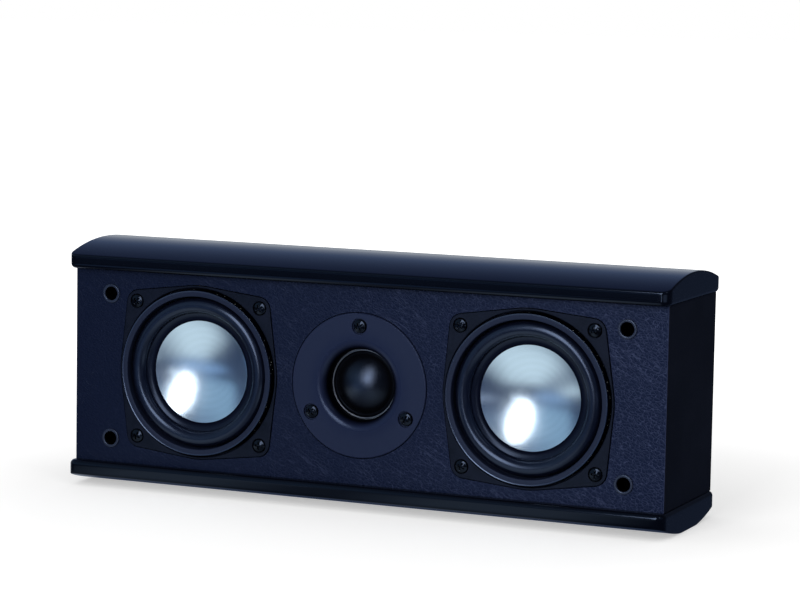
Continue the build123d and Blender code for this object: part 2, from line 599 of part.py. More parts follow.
def tweeter():
    """All the pieces of the tweeter, in place."""
    screw_seat = Pos(0, 0, PLATE_PROUD - SCREW_POCKET_DEPTH)
    pieces = {
        "faceplate": faceplate(),
        "trim_ring": ring(TRIM_INNER, TRIM_OUTER, DOME_RIM_Z, DOME_RIM_Z + TRIM_THICKNESS),
        "dome": dome(),
        "voice_coil": tweeter_coil(),
        "terminals": terminals(PLATE_BOSS_RADIUS, TWEETER_BACK_Z - TWEETER_BACK_THICKNESS),
        "screws": Part() + [spot * screw_seat * driver_screw() for spot in tweeter_screw_places()],
    }
    pieces |= motor(BOSS_Z, TWEETER_PLATE_THICKNESS, PLATE_BOSS_RADIUS, TWEETER_COIL_OUTER,
                    TWEETER_FORMER_RADIUS - RUNNING_GAP, PLATE_BOSS_RADIUS, TWEETER_MAGNET_HOLE,
                    TWEETER_MAGNET_THICKNESS, TWEETER_BACK_THICKNESS)
    return {f"tweeter_{name}": front_place(0) * piece for name, piece in pieces.items()}


def cup_screw_places():
    """The corners of the terminal cup's flange, midway between its two edges."""
    reach = (CUP_CORNER + CUP_FLANGE_WIDTH / 2) / sqrt(2) - CUP_CORNER
    x, z = CUP_WIDTH / 2 + reach, CUP_HEIGHT / 2 + reach
    return [Pos(sx * x, sz * z) for sx in (-1, 1) for sz in (-1, 1)]


def cup_outline(grow):
    """The cup's mouth, a rounded rectangle grown all round."""
    return RectangleRounded(CUP_WIDTH + 2 * grow, CUP_HEIGHT + 2 * grow, CUP_CORNER + grow)


def post_places():
    """Where the two binding posts stand, by name."""
    return {"red": Pos(POST_SPACING / 2, 0), "black": Pos(-POST_SPACING / 2, 0)}


def terminal_cup():
    """A tapered well with a flange on the rear panel and a collar under each post."""
    down = (0, 0, -1)
    shell = extrude(cup_outline(CUP_WALL), CUP_DEPTH + CUP_WALL, dir=down, taper=CUP_TAPER)
    shell += extrude(cup_outline(CUP_FLANGE_WIDTH), CUP_FLANGE_THICKNESS)
    shell -= extrude(cup_outline(0), CUP_DEPTH, dir=down, taper=CUP_TAPER)
    shell -= extrude(cup_outline(0), CUP_FLANGE_THICKNESS)
    collar = disc(COLLAR_RADIUS, CUP_FLOOR_Z, SHOULDER_Z)
    hole = disc(POST_RADIUS + HOLE_CLEARANCE, CUP_FLOOR_Z - CUP_WALL, SHOULDER_Z)
    pilot = disc(CUP_SCREW_SHANK_RADIUS + HOLE_CLEARANCE, 0, CUP_FLANGE_THICKNESS)
    shell += [spot * collar for spot in post_places().values()]
    shell -= [spot * hole for spot in post_places().values()]
    return shell - [spot * pilot for spot in cup_screw_places()]


def binding_post():
    """A stud with a shoulder on the collar and a bore for a plug in its outer end."""
    low, high = CUP_FLOOR_Z - CUP_WALL - POST_TAIL, CUP_FLOOR_Z + POST_LENGTH
    stud = disc(POST_RADIUS, low, high) + disc(SHOULDER_RADIUS, SHOULDER_Z, SHOULDER_Z + SHOULDER_HEIGHT)
    return stud - disc(POST_BORE_RADIUS, high - POST_BORE_DEPTH, high)


def post_knob():
    """A fluted knob with a seat for its bush and a hole in its end for the post."""
    high = KNOB_Z + KNOB_LENGTH
    body = Pos(0, 0, KNOB_Z) * extrude(Circle(KNOB_RADIUS), KNOB_LENGTH)
    body = chamfer(body.edges().group_by(Axis.Z)[-1], KNOB_EDGE)
    flute = disc(KNOB_FLUTE_RADIUS, KNOB_Z, high)
    body -= [spot * flute for spot in PolarLocations(KNOB_RADIUS + KNOB_FLUTE_RADIUS / 2, KNOB_FLUTES)]
    body -= disc(BUSH_RADIUS + HOLE_CLEARANCE, KNOB_Z, high - KNOB_END)
    return body - disc(POST_RADIUS + RUNNING_GAP, KNOB_Z, high)


def post_bush():
    """The threaded bush inside a knob."""
    high = KNOB_Z + KNOB_LENGTH - KNOB_END - HOLE_CLEARANCE
    return ring(POST_RADIUS + HOLE_CLEARANCE, BUSH_RADIUS, KNOB_Z, high)


def terminal_parts():
    """The cup, its screws, the two posts with their knobs, and the nuts behind them."""
    cup_screw = screw(CUP_SCREW_HEAD_RADIUS, CUP_SCREW_HEAD_HEIGHT, CUP_SCREW_HEAD_HEIGHT / 2,
                      CUP_SCREW_SHANK_RADIUS, CUP_SCREW_LENGTH)
    nut = extrude(RegularPolygon(NUT_ACROSS_FLATS / 2, 6, major_radius=False)
                  - Circle(POST_RADIUS + HOLE_CLEARANCE), NUT_THICKNESS)
    nut_heights = (BOARD_Z + BOARD_THICKNESS, BOARD_Z - NUT_THICKNESS)
    pieces = {
        "terminal_cup": terminal_cup(),
        "terminal_cup_screws": Part() + [spot * Pos(0, 0, CUP_FLANGE_THICKNESS) * cup_screw
                                         for spot in cup_screw_places()],
        "post_nuts": Part() + [spot * Pos(0, 0, z) * nut
                               for spot in post_places().values() for z in nut_heights],
    }
    for colour, spot in post_places().items():
        pieces[f"{colour}_post"] = spot * binding_post()
        pieces[f"{colour}_post_bush"] = spot * post_bush()
        pieces[f"{colour}_post_knob"] = spot * post_knob()
    return {name: rear_place() * piece for name, piece in pieces.items()}


def crossover():
    """The filter board behind the cup, with its parts on the side that faces the drivers."""
    plate = Pos(0, 0, BOARD_Z) * extrude(Rectangle(BOARD_WIDTH, BOARD_HEIGHT), BOARD_THICKNESS)
    post_hole = disc(POST_RADIUS + HOLE_CLEARANCE, BOARD_Z, BOARD_Z + BOARD_THICKNESS)
    coil_place = Pos(COIL_X, COIL_Z, BOARD_Z - COIL_HEIGHT)
    spool = ring(COIL_CORE_RADIUS - COIL_FLANGE, COIL_CORE_RADIUS, 0, COIL_HEIGHT)
    spool += [ring(COIL_CORE_RADIUS - COIL_FLANGE, COIL_RADIUS, z, z + COIL_FLANGE)
              for z in (0, COIL_HEIGHT - COIL_FLANGE)]
    winding = ring(COIL_CORE_RADIUS, COIL_WINDING_RADIUS, COIL_FLANGE, COIL_HEIGHT - COIL_FLANGE)
    capacitor = disc(CAPACITOR_RADIUS, BOARD_Z - CAPACITOR_HEIGHT, BOARD_Z)
    capacitor_spots = [CAPACITOR_X + side * CAPACITOR_SPACING / 2 for side in (-1, 1)]
    on_board = (Align.CENTER, Align.CENTER, Align.MAX)
    resistor = Box(RESISTOR_LENGTH, RESISTOR_WIDTH, RESISTOR_WIDTH, align=on_board)
    pieces = {
        "crossover_board": plate - [spot * post_hole for spot in post_places().values()],
        "inductor_spool": coil_place * spool,
        "inductor_winding": coil_place * winding,
        "capacitors": Part() + [Pos(x, CAPACITOR_Z) * capacitor for x in capacitor_spots],
        "resistor": Pos(RESISTOR_X, RESISTOR_Z, BOARD_Z) * resistor,
    }
    return {name: rear_place() * piece for name, piece in pieces.items()}


def main():
    nodes = cabinet()
    nodes |= {name: front_place(x, z) * grille_socket() for name, (x, z) in socket_places().items()}
    nodes |= woofer("left", -WOOFER_X, LEFT_WOOFER_TURN)
    nodes |= woofer("right", WOOFER_X, RIGHT_WOOFER_TURN)
    nodes |= tweeter() | terminal_parts() | crossover()
    os.makedirs("parts", exist_ok=True)
    for name, shape in nodes.items():
        export_step(shape, os.path.join("parts", f"{name}.step"))


main()
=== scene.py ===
"""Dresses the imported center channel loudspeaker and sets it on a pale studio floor.

Laid out as an add-on: sizes and colours are properties, each group of like pieces has an operator, and main()
calls the operators in order.  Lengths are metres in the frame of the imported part, whose front faces -Y.
"""
import json

import bmesh
import bpy
import numpy as np
from mathutils import Matrix, Quaternion, Vector

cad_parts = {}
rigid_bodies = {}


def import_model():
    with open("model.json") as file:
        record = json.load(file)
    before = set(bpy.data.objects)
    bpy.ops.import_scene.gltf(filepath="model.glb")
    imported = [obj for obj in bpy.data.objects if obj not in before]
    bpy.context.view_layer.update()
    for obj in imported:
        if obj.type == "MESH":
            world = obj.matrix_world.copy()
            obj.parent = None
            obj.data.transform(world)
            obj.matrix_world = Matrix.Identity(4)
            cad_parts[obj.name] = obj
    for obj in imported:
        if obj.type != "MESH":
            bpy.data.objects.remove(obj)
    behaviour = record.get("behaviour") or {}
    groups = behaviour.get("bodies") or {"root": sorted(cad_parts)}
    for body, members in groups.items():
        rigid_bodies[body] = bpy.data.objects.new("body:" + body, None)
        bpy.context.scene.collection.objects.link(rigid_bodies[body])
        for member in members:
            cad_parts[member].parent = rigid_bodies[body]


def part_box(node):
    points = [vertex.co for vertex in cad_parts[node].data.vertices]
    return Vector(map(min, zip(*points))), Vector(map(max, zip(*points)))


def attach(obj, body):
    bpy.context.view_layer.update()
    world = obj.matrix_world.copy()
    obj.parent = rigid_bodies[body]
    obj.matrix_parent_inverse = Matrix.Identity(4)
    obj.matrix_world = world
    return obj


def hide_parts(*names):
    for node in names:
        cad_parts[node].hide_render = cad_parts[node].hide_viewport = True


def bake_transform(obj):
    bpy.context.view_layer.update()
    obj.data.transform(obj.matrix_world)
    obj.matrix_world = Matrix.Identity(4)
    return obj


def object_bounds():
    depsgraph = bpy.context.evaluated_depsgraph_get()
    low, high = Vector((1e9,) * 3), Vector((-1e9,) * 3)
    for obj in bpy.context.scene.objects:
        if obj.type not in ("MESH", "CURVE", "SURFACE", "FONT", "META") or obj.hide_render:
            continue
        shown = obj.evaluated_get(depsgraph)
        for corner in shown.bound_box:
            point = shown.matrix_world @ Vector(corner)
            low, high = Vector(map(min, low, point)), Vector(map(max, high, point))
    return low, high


bpy.data.batch_remove(bpy.data.objects)
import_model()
CAD_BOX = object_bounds()

bl_info = {
    "name": "Center Channel Loudspeaker",
    "version": (1, 0, 0),
    "blender": (4, 5, 0),
    "location": "View3D > Sidebar > Loudspeaker",
    "description": "Builds the visible pieces and finishes of a center channel loudspeaker",
    "category": "Object",
}

SIDES = ("left", "right")
FRONT_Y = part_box("front_baffle")[0].y
BOX_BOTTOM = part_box("front_baffle")[0].z
BOX_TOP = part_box("front_baffle")[1].z
FRONT = np.array((0.0, -1.0, 0.0))
NOISE_LOW, NOISE_HIGH = 0.3, 0.7  # nearly all of a cloudy noise lies between these
SAME_POINT = 2e-7  # points closer than this are merged


def length(name, description, default):
    """A length property in metres."""
    return bpy.props.FloatProperty(
        name=name, description=description, default=default, unit="LENGTH", precision=5)


def colour(name, description, default):
    """A linear colour property."""
    return bpy.props.FloatVectorProperty(
        name=name, description=description, default=default, subtype="COLOR", size=3, min=0.0, max=1.0)


def share(name, description, default):
    """A property between 0 and 1."""
    return bpy.props.FloatProperty(
        name=name, description=description, default=default, subtype="FACTOR", min=0.0, max=1.0)


def power(name, description, default):
    """A lamp's power in watts."""
    return bpy.props.FloatProperty(name=name, description=description, default=default, unit="POWER")


class CapSizes(bpy.types.PropertyGroup):
    """Sizes of the two lacquered caps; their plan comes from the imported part."""

    edge_height: length("Edge height", "Height of the long edges, under the arch", 0.0078)
    crown: length("Crown", "Height of the arch along its middle", 0.0152)
    corner: length("Corner radius", "Rounding of the upright corners", 0.005)
    foot: length("Foot radius", "Rounding of the edge next to the box", 0.0026)
    arris: length("Arris radius", "Rounding where the wall meets the arch", 0.0008)


class WooferSizes(bpy.types.PropertyGroup):
    """Sizes of the front of a woofer; heights are measured out from the baffle."""

    gasket_inner: length("Gasket inner radius", "Bore of the rubber gasket", 0.0432)
    gasket_outer: length("Gasket outer radius", "Foot of the gasket's sloping wall", 0.047)
    gasket_top: length("Gasket top radius", "Top of the gasket's sloping wall", 0.0465)
    gasket_edge: length("Gasket edge radius", "Rounding of the gasket's inner top edge", 0.0006)
    bead: length("Bead width", "Width of the upturned edge round the gasket", 0.0006)
    bead_rise: length("Bead rise", "Height of the upturned edge above the gasket's top", 0.00022)
    rubber: length("Rubber thickness", "Thickness of the surround", 0.0008)
    roll_outer: length("Roll outer radius", "Outer side of the roll", 0.0423)
    roll_inner: length("Roll inner radius", "Inner side of the roll", 0.0335)
    roll_crest: length("Roll crest height", "Height of the roll's crest", 0.0023)
    roll_foot: length("Roll foot radius", "Hollow rounding at the roll's feet", 0.0009)
    seat: length("Seat height", "Height of the frame's seat under the outer lip", -0.004)
    lip: length("Lip height", "Height of the cone's rim under the inner lip", -0.0041)
    lip_inner: length("Lip inner radius", "Inner edge of the inner lip", 0.0289)
    lip_bend: length("Lip bend radius", "Where the inner lip starts to climb to the roll", 0.0313)
    lip_rise: length("Lip rise", "Height of the lip at the roll above its inner edge", 0.0011)
    cone_rim: length("Cone rim radius", "Outer edge of the cone, under the lip", 0.0314)
    dish: length("Dish depth", "Depth of the cone's dish below its rim", 0.008)
    sheet: length("Cone thickness", "Thickness of the spun aluminium", 0.0006)


class TweeterSizes(bpy.types.PropertyGroup):
    """Sizes of the tweeter's dome and trim ring; heights are measured out from the baffle."""

    rim: length("Rim height", "Height of the cloth's flat rim", -0.0076)
    cloth: length("Cloth thickness", "Thickness of the coated cloth", 0.0004)
    dome_radius: length("Dome radius", "Foot of the dome", 0.0166)
    dome_rise: length("Dome rise", "Height of the dome above its rim", 0.0062)
    roll_outer: length("Roll outer radius", "Outer foot of the cloth's small roll", 0.0181)
    roll_rise: length("Roll rise", "Height of the small roll above the rim", 0.0002)
    trim_inner: length("Trim inner radius", "Bore of the trim ring", 0.0185)
    trim_outer: length("Trim outer radius", "Outer edge of the trim ring", 0.01935)
    trim_thickness: length("Trim thickness", "Thickness of the trim ring", 0.0006)


class HardwareSizes(bpy.types.PropertyGroup):
    """Sizes of the screws and of the grille sockets."""

    head: length("Head radius", "Radius of a screw's pan head", 0.0038)
    head_height: length("Head height", "Height of a screw's pan head", 0.0023)
    cross: length("Cross length", "Length of the cross recess", 0.0042)
    cross_width: length("Cross width", "Width of the cross recess's arms", 0.0009)
    cross_depth: length("Cross depth", "Depth of the cross recess", 0.0013)
    shank: length("Shank radius", "Crest radius of the thread", 0.0017)
    pitch: length("Thread pitch", "Distance from one thread to the next", 0.0012)
    socket_rim: length("Socket rim radius", "Outer radius of a grille socket's rim", 0.00535)
    socket_barrel: length("Socket barrel radius", "Outer radius of the socket behind the rim", 0.0047)
    socket_bore: length("Socket bore radius", "Radius of the hole for a grille peg", 0.00385)
    socket_floor: length("Socket floor", "Thickness of the socket's closed end", 0.0012)


class Finishes(bpy.types.PropertyGroup):
    """Colours of the finishes."""

    vinyl: colour("Leather vinyl", "Leather-grained wrap of the front", (0.002, 0.004, 0.0165))
    # the pale veins are partly grain and partly painted glints on its ridges
    vein_glint: colour("Leather veins", "Pale veins of the leather grain", (0.034, 0.044, 0.096))
    side_vinyl: colour("Side vinyl", "Smoother wrap of the sides and back", (0.0068, 0.0086, 0.0165))
    lacquer: colour("Lacquer", "Gloss lacquer of the caps", (0.001, 0.0013, 0.0024))
    board: colour("Fibre board", "Bare fibre board inside", (0.35, 0.235, 0.135))
    frame_paint: colour("Frame paint", "Painted woofer frames", (0.0022, 0.003, 0.0075))
    gasket: colour("Gasket rubber", "Rubber gasket rings", (0.0075, 0.0105, 0.026))
    rubber: colour("Surround rubber", "Rubber surrounds", (0.0022, 0.0032, 0.009))
    aluminium: colour("Aluminium", "Spun aluminium cones", (0.68, 0.81, 0.93))
    plate: colour("Tweeter plate", "Moulded tweeter plate", (0.0075, 0.011, 0.033))
    trim: colour("Trim metal", "Ring round the dome", (0.15, 0.165, 0.2))
    dome: colour("Dome cloth", "Coated cloth of the dome", (0.002, 0.0023, 0.0036))
    socket: colour("Socket plastic", "Grille sockets", (0.014, 0.018, 0.033))
    screw: colour("Screw black", "Blackened screws", (0.0009, 0.001, 0.0012))
    cup: colour("Cup plastic", "Moulded terminal cup", (0.011, 0.0115, 0.0125))
    gold: colour("Gold plate", "Plated binding posts", (0.86, 0.62, 0.26))
    red: colour("Red plastic", "Red binding post", (0.42, 0.012, 0.014))
    black: colour("Black plastic", "Black binding post", (0.012, 0.012, 0.013))
    steel: colour("Plated steel", "Motor plates and nuts", (0.60, 0.61, 0.62))
    ferrite: colour("Ferrite", "Ring magnets", (0.035, 0.034, 0.035))
    copper: colour("Copper wire", "Enamelled copper windings", (0.62, 0.23, 0.09))
    foil: colour("Former foil", "Voice coil formers", (0.55, 0.56, 0.58))
    spider: colour("Spider cloth", "Corrugated spider cloth", (0.48, 0.32, 0.13))
    brass: colour("Brass", "Solder lugs", (0.66, 0.50, 0.22))
    laminate: colour("Board laminate", "Crossover board", (0.17, 0.095, 0.04))
    sleeve: colour("Capacitor sleeve", "Capacitor sleeves", (0.015, 0.03, 0.075))
    cement: colour("Cement", "Cement resistor", (0.68, 0.66, 0.61))
    sheen: colour("Cool sheen", "Tint of the highlights on the dark finishes", (0.5, 0.65, 1.0))


class StageSettings(bpy.types.PropertyGroup):
    """Light of the studio."""

    key_power: power("Key power", "Power of the softbox in front", 14.0)
    side_power: power("Side power", "Power of the softbox at the right", 1.2)
    ambient: share("Ambient", "Strength of the even light from all round", 0.5)
    floor: colour("Floor", "Paint of the floor", (0.82, 0.82, 0.82))


class ShaderNodes:
    """A node tree under construction: its methods add nodes and return their output sockets."""

    def __init__(self, tree):
        self.nodes, self.links = tree.nodes, tree.links

    def node(self, kind, sockets, output=0, **settings):
        """Adds a node, sets it up, feeds its sockets and returns one of its outputs."""
        node = self.nodes.new(kind)
        for name, value in settings.items():
            setattr(node, name, value)
        self.feed(node, sockets)
        return node.outputs[output]

    def feed(self, node, sockets):
        """Links a socket where the value is another socket, and sets it where it is a constant."""
        for name, value in sockets.items():
            socket = node.inputs[name]
            if isinstance(value, bpy.types.NodeSocket):
                self.links.new(value, socket)
            elif socket.type == "RGBA":
                socket.default_value = (*value, 1.0)
            else:
                socket.default_value = value

    def remap(self, value, low, high, to_low, to_high):
        """Maps a range of values onto another, and holds it at the ends."""
        return self.node("ShaderNodeMapRange", {
            "Value": value, "From Min": low, "From Max": high, "To Min": to_low, "To Max": to_high})

    def rise(self, value, start, end):
        """0 at the start and 1 at the end of a range of values."""
        return self.remap(value, start, end, 0.0, 1.0)

    def fade(self, value, start, end):
        """Runs from start to end as a value runs from 0 to 1."""
        return self.remap(value, 0.0, 1.0, start, end)

    def spread(self, noise, low, high):
        """Spreads a cloudy noise over a range."""
        return self.remap(noise, NOISE_LOW, NOISE_HIGH, low, high)

    def math(self, operation, first, second):
        """Sum, product or the like of two values."""
        return self.node("ShaderNodeMath", {0: first, 1: second}, operation=operation)

    def ramp(self, value, *stops):
        """A colour that follows stops of (position, colour) as the value runs through them."""
        colours = self.node("ShaderNodeValToRGB", {"Fac": value}, "Color")
        elements = colours.node.color_ramp.elements
        while len(elements) < len(stops):
            elements.new(1.0)
        for element, (position, rgb) in zip(elements, stops):
            element.position = position
            element.color = (*rgb, 1)
        return colours


class Finish(ShaderNodes):
    """A material under construction, with its patterns on Object coordinates."""

    def __init__(self, name, cool=False):
        self.material = bpy.data.materials.new(name)
        self.material.use_nodes = True
        super().__init__(self.material.node_tree)
        self.shader = self.nodes["Principled BSDF"]
        self.place = self.node("ShaderNodeTexCoord", {}, "Object")
        if cool:
            self.shade(Specular_Tint=bpy.context.scene.speaker_finishes.sheen)

    def shade(self, **sockets):
        """Feeds the shader, with underscores in the names for spaces, and returns the material."""
        self.feed(self.shader, {name.replace("_", " "): value for name, value in sockets.items()})
        return self.material

    def vector(self, operation, first, second):
        """Sum, product or the like of two vectors."""
        return self.node("ShaderNodeVectorMath", {0: first, 1: second}, operation=operation)

    def axis(self, name):
        """One of the Object coordinates."""
        return self.node("ShaderNodeSeparateXYZ", {"Vector": self.place}, name)

    def moved(self, middle):
        """Object coordinates measured from a middle."""
        return self.vector("SUBTRACT", self.place, middle)

    def radius(self, middle):
        """Distance from an axis along Y through a middle."""
        flat = self.vector("MULTIPLY", self.moved(middle), (1.0, 0.0, 1.0))
        return self.node("ShaderNodeVectorMath", {0: flat}, "Value", operation="LENGTH")

    def warped(self, size, amount):
        """Object coordinates pushed about by cloudy noise."""
        cloud = self.node("ShaderNodeTexNoise", {
            "Vector": self.place, "Scale": 1 / size, "Detail": 2.0}, "Color")
        push = self.vector("SUBTRACT", cloud, (0.5, 0.5, 0.5))
        return self.node("ShaderNodeVectorMath", {0: push, 1: (amount, amount, amount), 2: self.place},
                         operation="MULTIPLY_ADD")

    def noise(self, size, detail=3.0, roughness=0.55):
        """Cloudy noise whose blobs are about size across."""
        return self.node("ShaderNodeTexNoise", {
            "Vector": self.place, "Scale": 1 / size, "Detail": detail, "Roughness": roughness})

    def cells(self, size, place=None, feature="DISTANCE_TO_EDGE"):
        """Pebbles about size across, measured from their edges, or from their middles as F1."""
        return self.node("ShaderNodeTexVoronoi", {
            "Vector": place or self.place, "Scale": 1 / size}, "Distance", feature=feature)

    def specks(self, size, near, far):
        """Specks of dust about size apart, which fade out from near to far, as shares of size."""
        return self.remap(self.cells(size, feature="F1"), near, far, 1.0, 0.0)

    def creases(self, size, width, place):
        """Thin winding lines where cloudy noise passes through its middle value."""
        cloud = self.node("ShaderNodeTexNoise", {
            "Vector": place, "Scale": 1 / size, "Detail": 3.0, "Distortion": 0.6})
        off_middle = self.math("ABSOLUTE", self.math("SUBTRACT", cloud, 0.5), 0.0)
        return self.remap(off_middle, 0.0, width, 1.0, 0.0)

    def rings(self, middle, period):
        """Smooth rings of a given period round an axis along Y."""
        return self.node("ShaderNodeTexWave", {"Vector": self.moved(middle), "Scale": np.pi / (10 * period)},
                         "Fac", wave_type="RINGS", rings_direction="Y")

    def waves(self, period, direction):
        """Smooth bands of a given period along one axis."""
        return self.node("ShaderNodeTexWave", {"Vector": self.place, "Scale": np.pi / (10 * period)},
                         "Fac", wave_type="BANDS", bands_direction=direction)

    def weave(self, thread):
        """Two sets of threads, one across the other."""
        return self.math("MULTIPLY", self.waves(thread, "X"), self.waves(thread, "Z"))

    def tint(self, value, dark, light, low=0.0, high=1.0):
        """A colour that runs from dark to light as the value runs from low to high."""
        return self.ramp(value, (low, dark), (high, light))

    def mottle(self, noise, rgb, dark, light):
        """A colour clouded by noise between two multiples of itself."""
        return self.tint(noise, scaled(rgb, dark), scaled(rgb, light), NOISE_LOW, NOISE_HIGH)

    def mix(self, value, first, second):
        """The first colour where the value is 0 and the second where it is 1."""
        return self.node("ShaderNodeMixRGB", {"Fac": value, "Color1": first, "Color2": second})

    def bump(self, height, distance, strength=1.0):
        """A normal that follows a height from 0 to 1, distance metres tall."""
        return self.node("ShaderNodeBump", {
            "Height": height, "Distance": distance, "Strength": strength}, "Normal")


def scaled(rgb, factor):
    """A colour made darker or lighter."""
    return tuple(factor * channel for channel in rgb)


def leather_finish(name, rgb, vein_glint):
    """Vinyl with leather grain: a net of pale veins and slanting creases in patches, and a painted highlight
    along the upright edges. The pale colour of veins and creases is partly grain and partly painted glints.

    The veins and what lies between them carry a painted sheen that grows towards the right end.
    """
    finish = Finish(name, cool=True)
    pebble, crease, slope, box_edge = 0.0015, 0.0042, -0.5, 0.1773
    slant = finish.node("ShaderNodeMapping", {
        "Vector": finish.warped(0.004, 0.0018), "Rotation": (0.0, slope, 0.0)})
    pebbles = finish.cells(pebble, finish.vector("MULTIPLY", slant, (0.6, 1.0, 1.0)))
    net = finish.math("MULTIPLY", finish.remap(pebbles, 0.01, 0.07, 1.0, 0.0),
                      finish.remap(finish.noise(0.002, 0.0), 0.4, 0.6, 0.35, 0.85))
    long = finish.vector("MULTIPLY", slant, (0.12, 1.0, 1.0))
    folds = finish.math("MULTIPLY", finish.creases(crease, 0.016, long),
                        finish.rise(finish.noise(0.03, 1.0), 0.45, 0.58))
    along = finish.axis("X")
    # painted sheen: veins and base colour get lighter towards the right end, where the light falls more
    painted_sheen = finish.math("POWER", finish.remap(along, -0.2, 0.17, 0.2, 1.0), 2.0)
    # painted highlight along the rounded upright edges of the wrap
    painted_edge_highlight = finish.rise(finish.math("ABSOLUTE", along, 0.0), box_edge - 0.0005, box_edge)
    # pale veins and creases: partly grain, partly painted glints, growing with the painted sheen
    lines = finish.math("MULTIPLY", finish.math("MAXIMUM", net, folds), painted_sheen)
    height = finish.math("SUBTRACT", finish.rise(pebbles, 0.0, 0.3), finish.math("MULTIPLY", folds, 0.7))
    return finish.shade(
        Base_Color=finish.mix(finish.math("MAXIMUM", lines, painted_edge_highlight),
                              finish.tint(painted_sheen, rgb, scaled(rgb, 1.6)), vein_glint),
        Roughness=0.43, Specular_IOR_Level=0.17, Normal=finish.bump(height, 0.00006))


def vinyl_finish(name, rgb):
    """Plain matt vinyl wrap with a fine even grain."""
    finish = Finish(name, cool=True)
    pebbles = finish.rise(finish.cells(0.0007), 0.0, 0.3)
    return finish.shade(
        Base_Color=finish.mottle(finish.noise(0.05), rgb, 0.8, 1.25),
        Roughness=finish.fade(pebbles, 0.66, 0.56), Specular_IOR_Level=0.12,
        Normal=finish.bump(pebbles, 0.00002, 0.6))


def lacquer_finish(name, rgb):
    """Gloss lacquer with a faint orange peel and fine dust."""
    finish = Finish(name, cool=True)
    peel = finish.noise(0.006, 1.0)
    return finish.shade(
        Base_Color=finish.mottle(finish.noise(0.03), rgb, 0.85, 1.2),
        Roughness=finish.fade(finish.specks(0.006, 0.0, 0.035), 0.1, 0.4), Specular_IOR_Level=0.35,
        Normal=finish.bump(peel, 0.00002, 0.25))


def paint_finish(name, rgb):
    """Thin uneven paint on a stamped frame: clouded, with specks of dust and a fine texture."""
    finish = Finish(name, cool=True)
    cloud = finish.noise(0.012, 5.0, 0.65)
    tone = finish.math("ADD", cloud, finish.math("MULTIPLY", finish.specks(0.0021, 0.06, 0.16), 0.8))
    return finish.shade(
        Base_Color=finish.tint(tone, scaled(rgb, 0.55), scaled(rgb, 2.4), NOISE_LOW, 13 / 14),
        Roughness=finish.spread(cloud, 0.36, 0.58), Specular_IOR_Level=0.2,
        Normal=finish.bump(finish.noise(0.0004), 0.00003))


def rubber_finish(name, rgb, middle, edge, full):
    """Smooth moulded rubber with a little dust, and a satin shine.

    The shine comes in at the edge's radius and has its full strength from the full radius on.
    """
    finish = Finish(name, cool=True)
    dust = finish.noise(0.009, 4.0, 0.6)
    return finish.shade(
        Base_Color=finish.mottle(dust, rgb, 0.85, 1.2), Roughness=finish.spread(dust, 0.22, 0.27),
        Specular_IOR_Level=finish.remap(finish.radius(middle), edge, full, 0.0, 0.6),
        Normal=finish.bump(finish.noise(0.0004, 2.0), 0.000004, 0.5))


def gasket_finish(name, rgb, middle, edge):
    """Matt rubber: an even top, a shiny bead, and past the edge's radius a wall painted near black as shade,
    with specks of dust.
    """
    finish = Finish(name, cool=True)
    speck = (0.3, 0.32, 0.3)
    radius = finish.radius(middle)
    wall = finish.rise(radius, edge - 0.0001, edge + 0.0001)
    bead = finish.rise(radius, edge - 0.0008, edge - 0.0006)
    bits = finish.math("MULTIPLY", finish.specks(0.0024, 0.1, 0.16), wall)
    # painted shade: the outer wall is nearly black and without shine, save the pale specks of dust
    dark = finish.rise(finish.math("SUBTRACT", wall, finish.math("MULTIPLY", bits, 3.0)), -2.0, 1.0)
    shine = finish.math("SUBTRACT", finish.fade(bead, 0.3, 0.9), finish.math("MULTIPLY", wall, 0.82))
    return finish.shade(
        Base_Color=finish.ramp(dark, (0.0, speck), (0.66, rgb), (1.0, scaled(rgb, 0.06))),
        Roughness=finish.fade(bead, 0.48, 0.25), Specular_IOR_Level=shine,
        Normal=finish.bump(finish.noise(0.00035, 2.0), 0.00001, 0.7))


def spun_finish(name, rgb, middle):
    """Spun aluminium: fine rings round the axis in its height and tone, and clouded roughness."""
    finish = Finish(name)
    rings = finish.math("ADD", finish.rings(middle, 0.0009), finish.rings(middle, 0.0037))
    return finish.shade(
        Base_Color=finish.tint(finish.math("MULTIPLY", rings, 0.5), scaled(rgb, 0.95), rgb), Metallic=1.0,
        Roughness=finish.spread(finish.noise(0.015), 0.21, 0.25), Normal=finish.bump(rings, 0.000006, 0.5))


def moulded_finish(name, rgb, rough, grain=0.0004):
    """Moulded plastic with a spark-eroded texture."""
    finish = Finish(name)
    texture = finish.noise(grain, 2.0, 0.6)
    return finish.shade(
        Base_Color=finish.mottle(finish.noise(0.02), rgb, 0.9, 1.12),
        Roughness=finish.spread(texture, rough - 0.06, rough + 0.06), Normal=finish.bump(texture, grain / 12))


def socket_finish(name, rgb):
    """Satin plastic, pale on the rim, with painted shade turning it black and without shine down the bore."""
    finish = Finish(name, cool=True)
    # painted shade: colour and shine fade out down the bore, past the front of the baffle
    inside = finish.rise(finish.axis("Y"), FRONT_Y - 0.0006, FRONT_Y + 0.0004)
    return finish.shade(
        Base_Color=finish.tint(inside, rgb, scaled(rgb, 0.03)), Roughness=0.24,
        Specular_IOR_Level=finish.fade(inside, 0.6, 0.0))


def plate_finish(name, rgb, middle):
    """Matt moulded plate whose flare is smoother, with painted shade that darkens the flare towards the dome.
    """
    finish = Finish(name, cool=True)
    radius = finish.radius(middle)
    # painted shade: near black in the throat of the flare, rising to the plate's colour further out
    throat_shade_fade = finish.rise(radius, 0.0203, 0.0232)
    return finish.shade(
        Base_Color=finish.tint(throat_shade_fade, scaled(rgb, 0.04), rgb),
        Roughness=finish.remap(radius, 0.024, 0.032, 0.24, 0.42),
        Specular_IOR_Level=finish.fade(throat_shade_fade, 0.03, 0.32),
        Normal=finish.bump(finish.noise(0.0005, 2.0, 0.6), 0.00004))


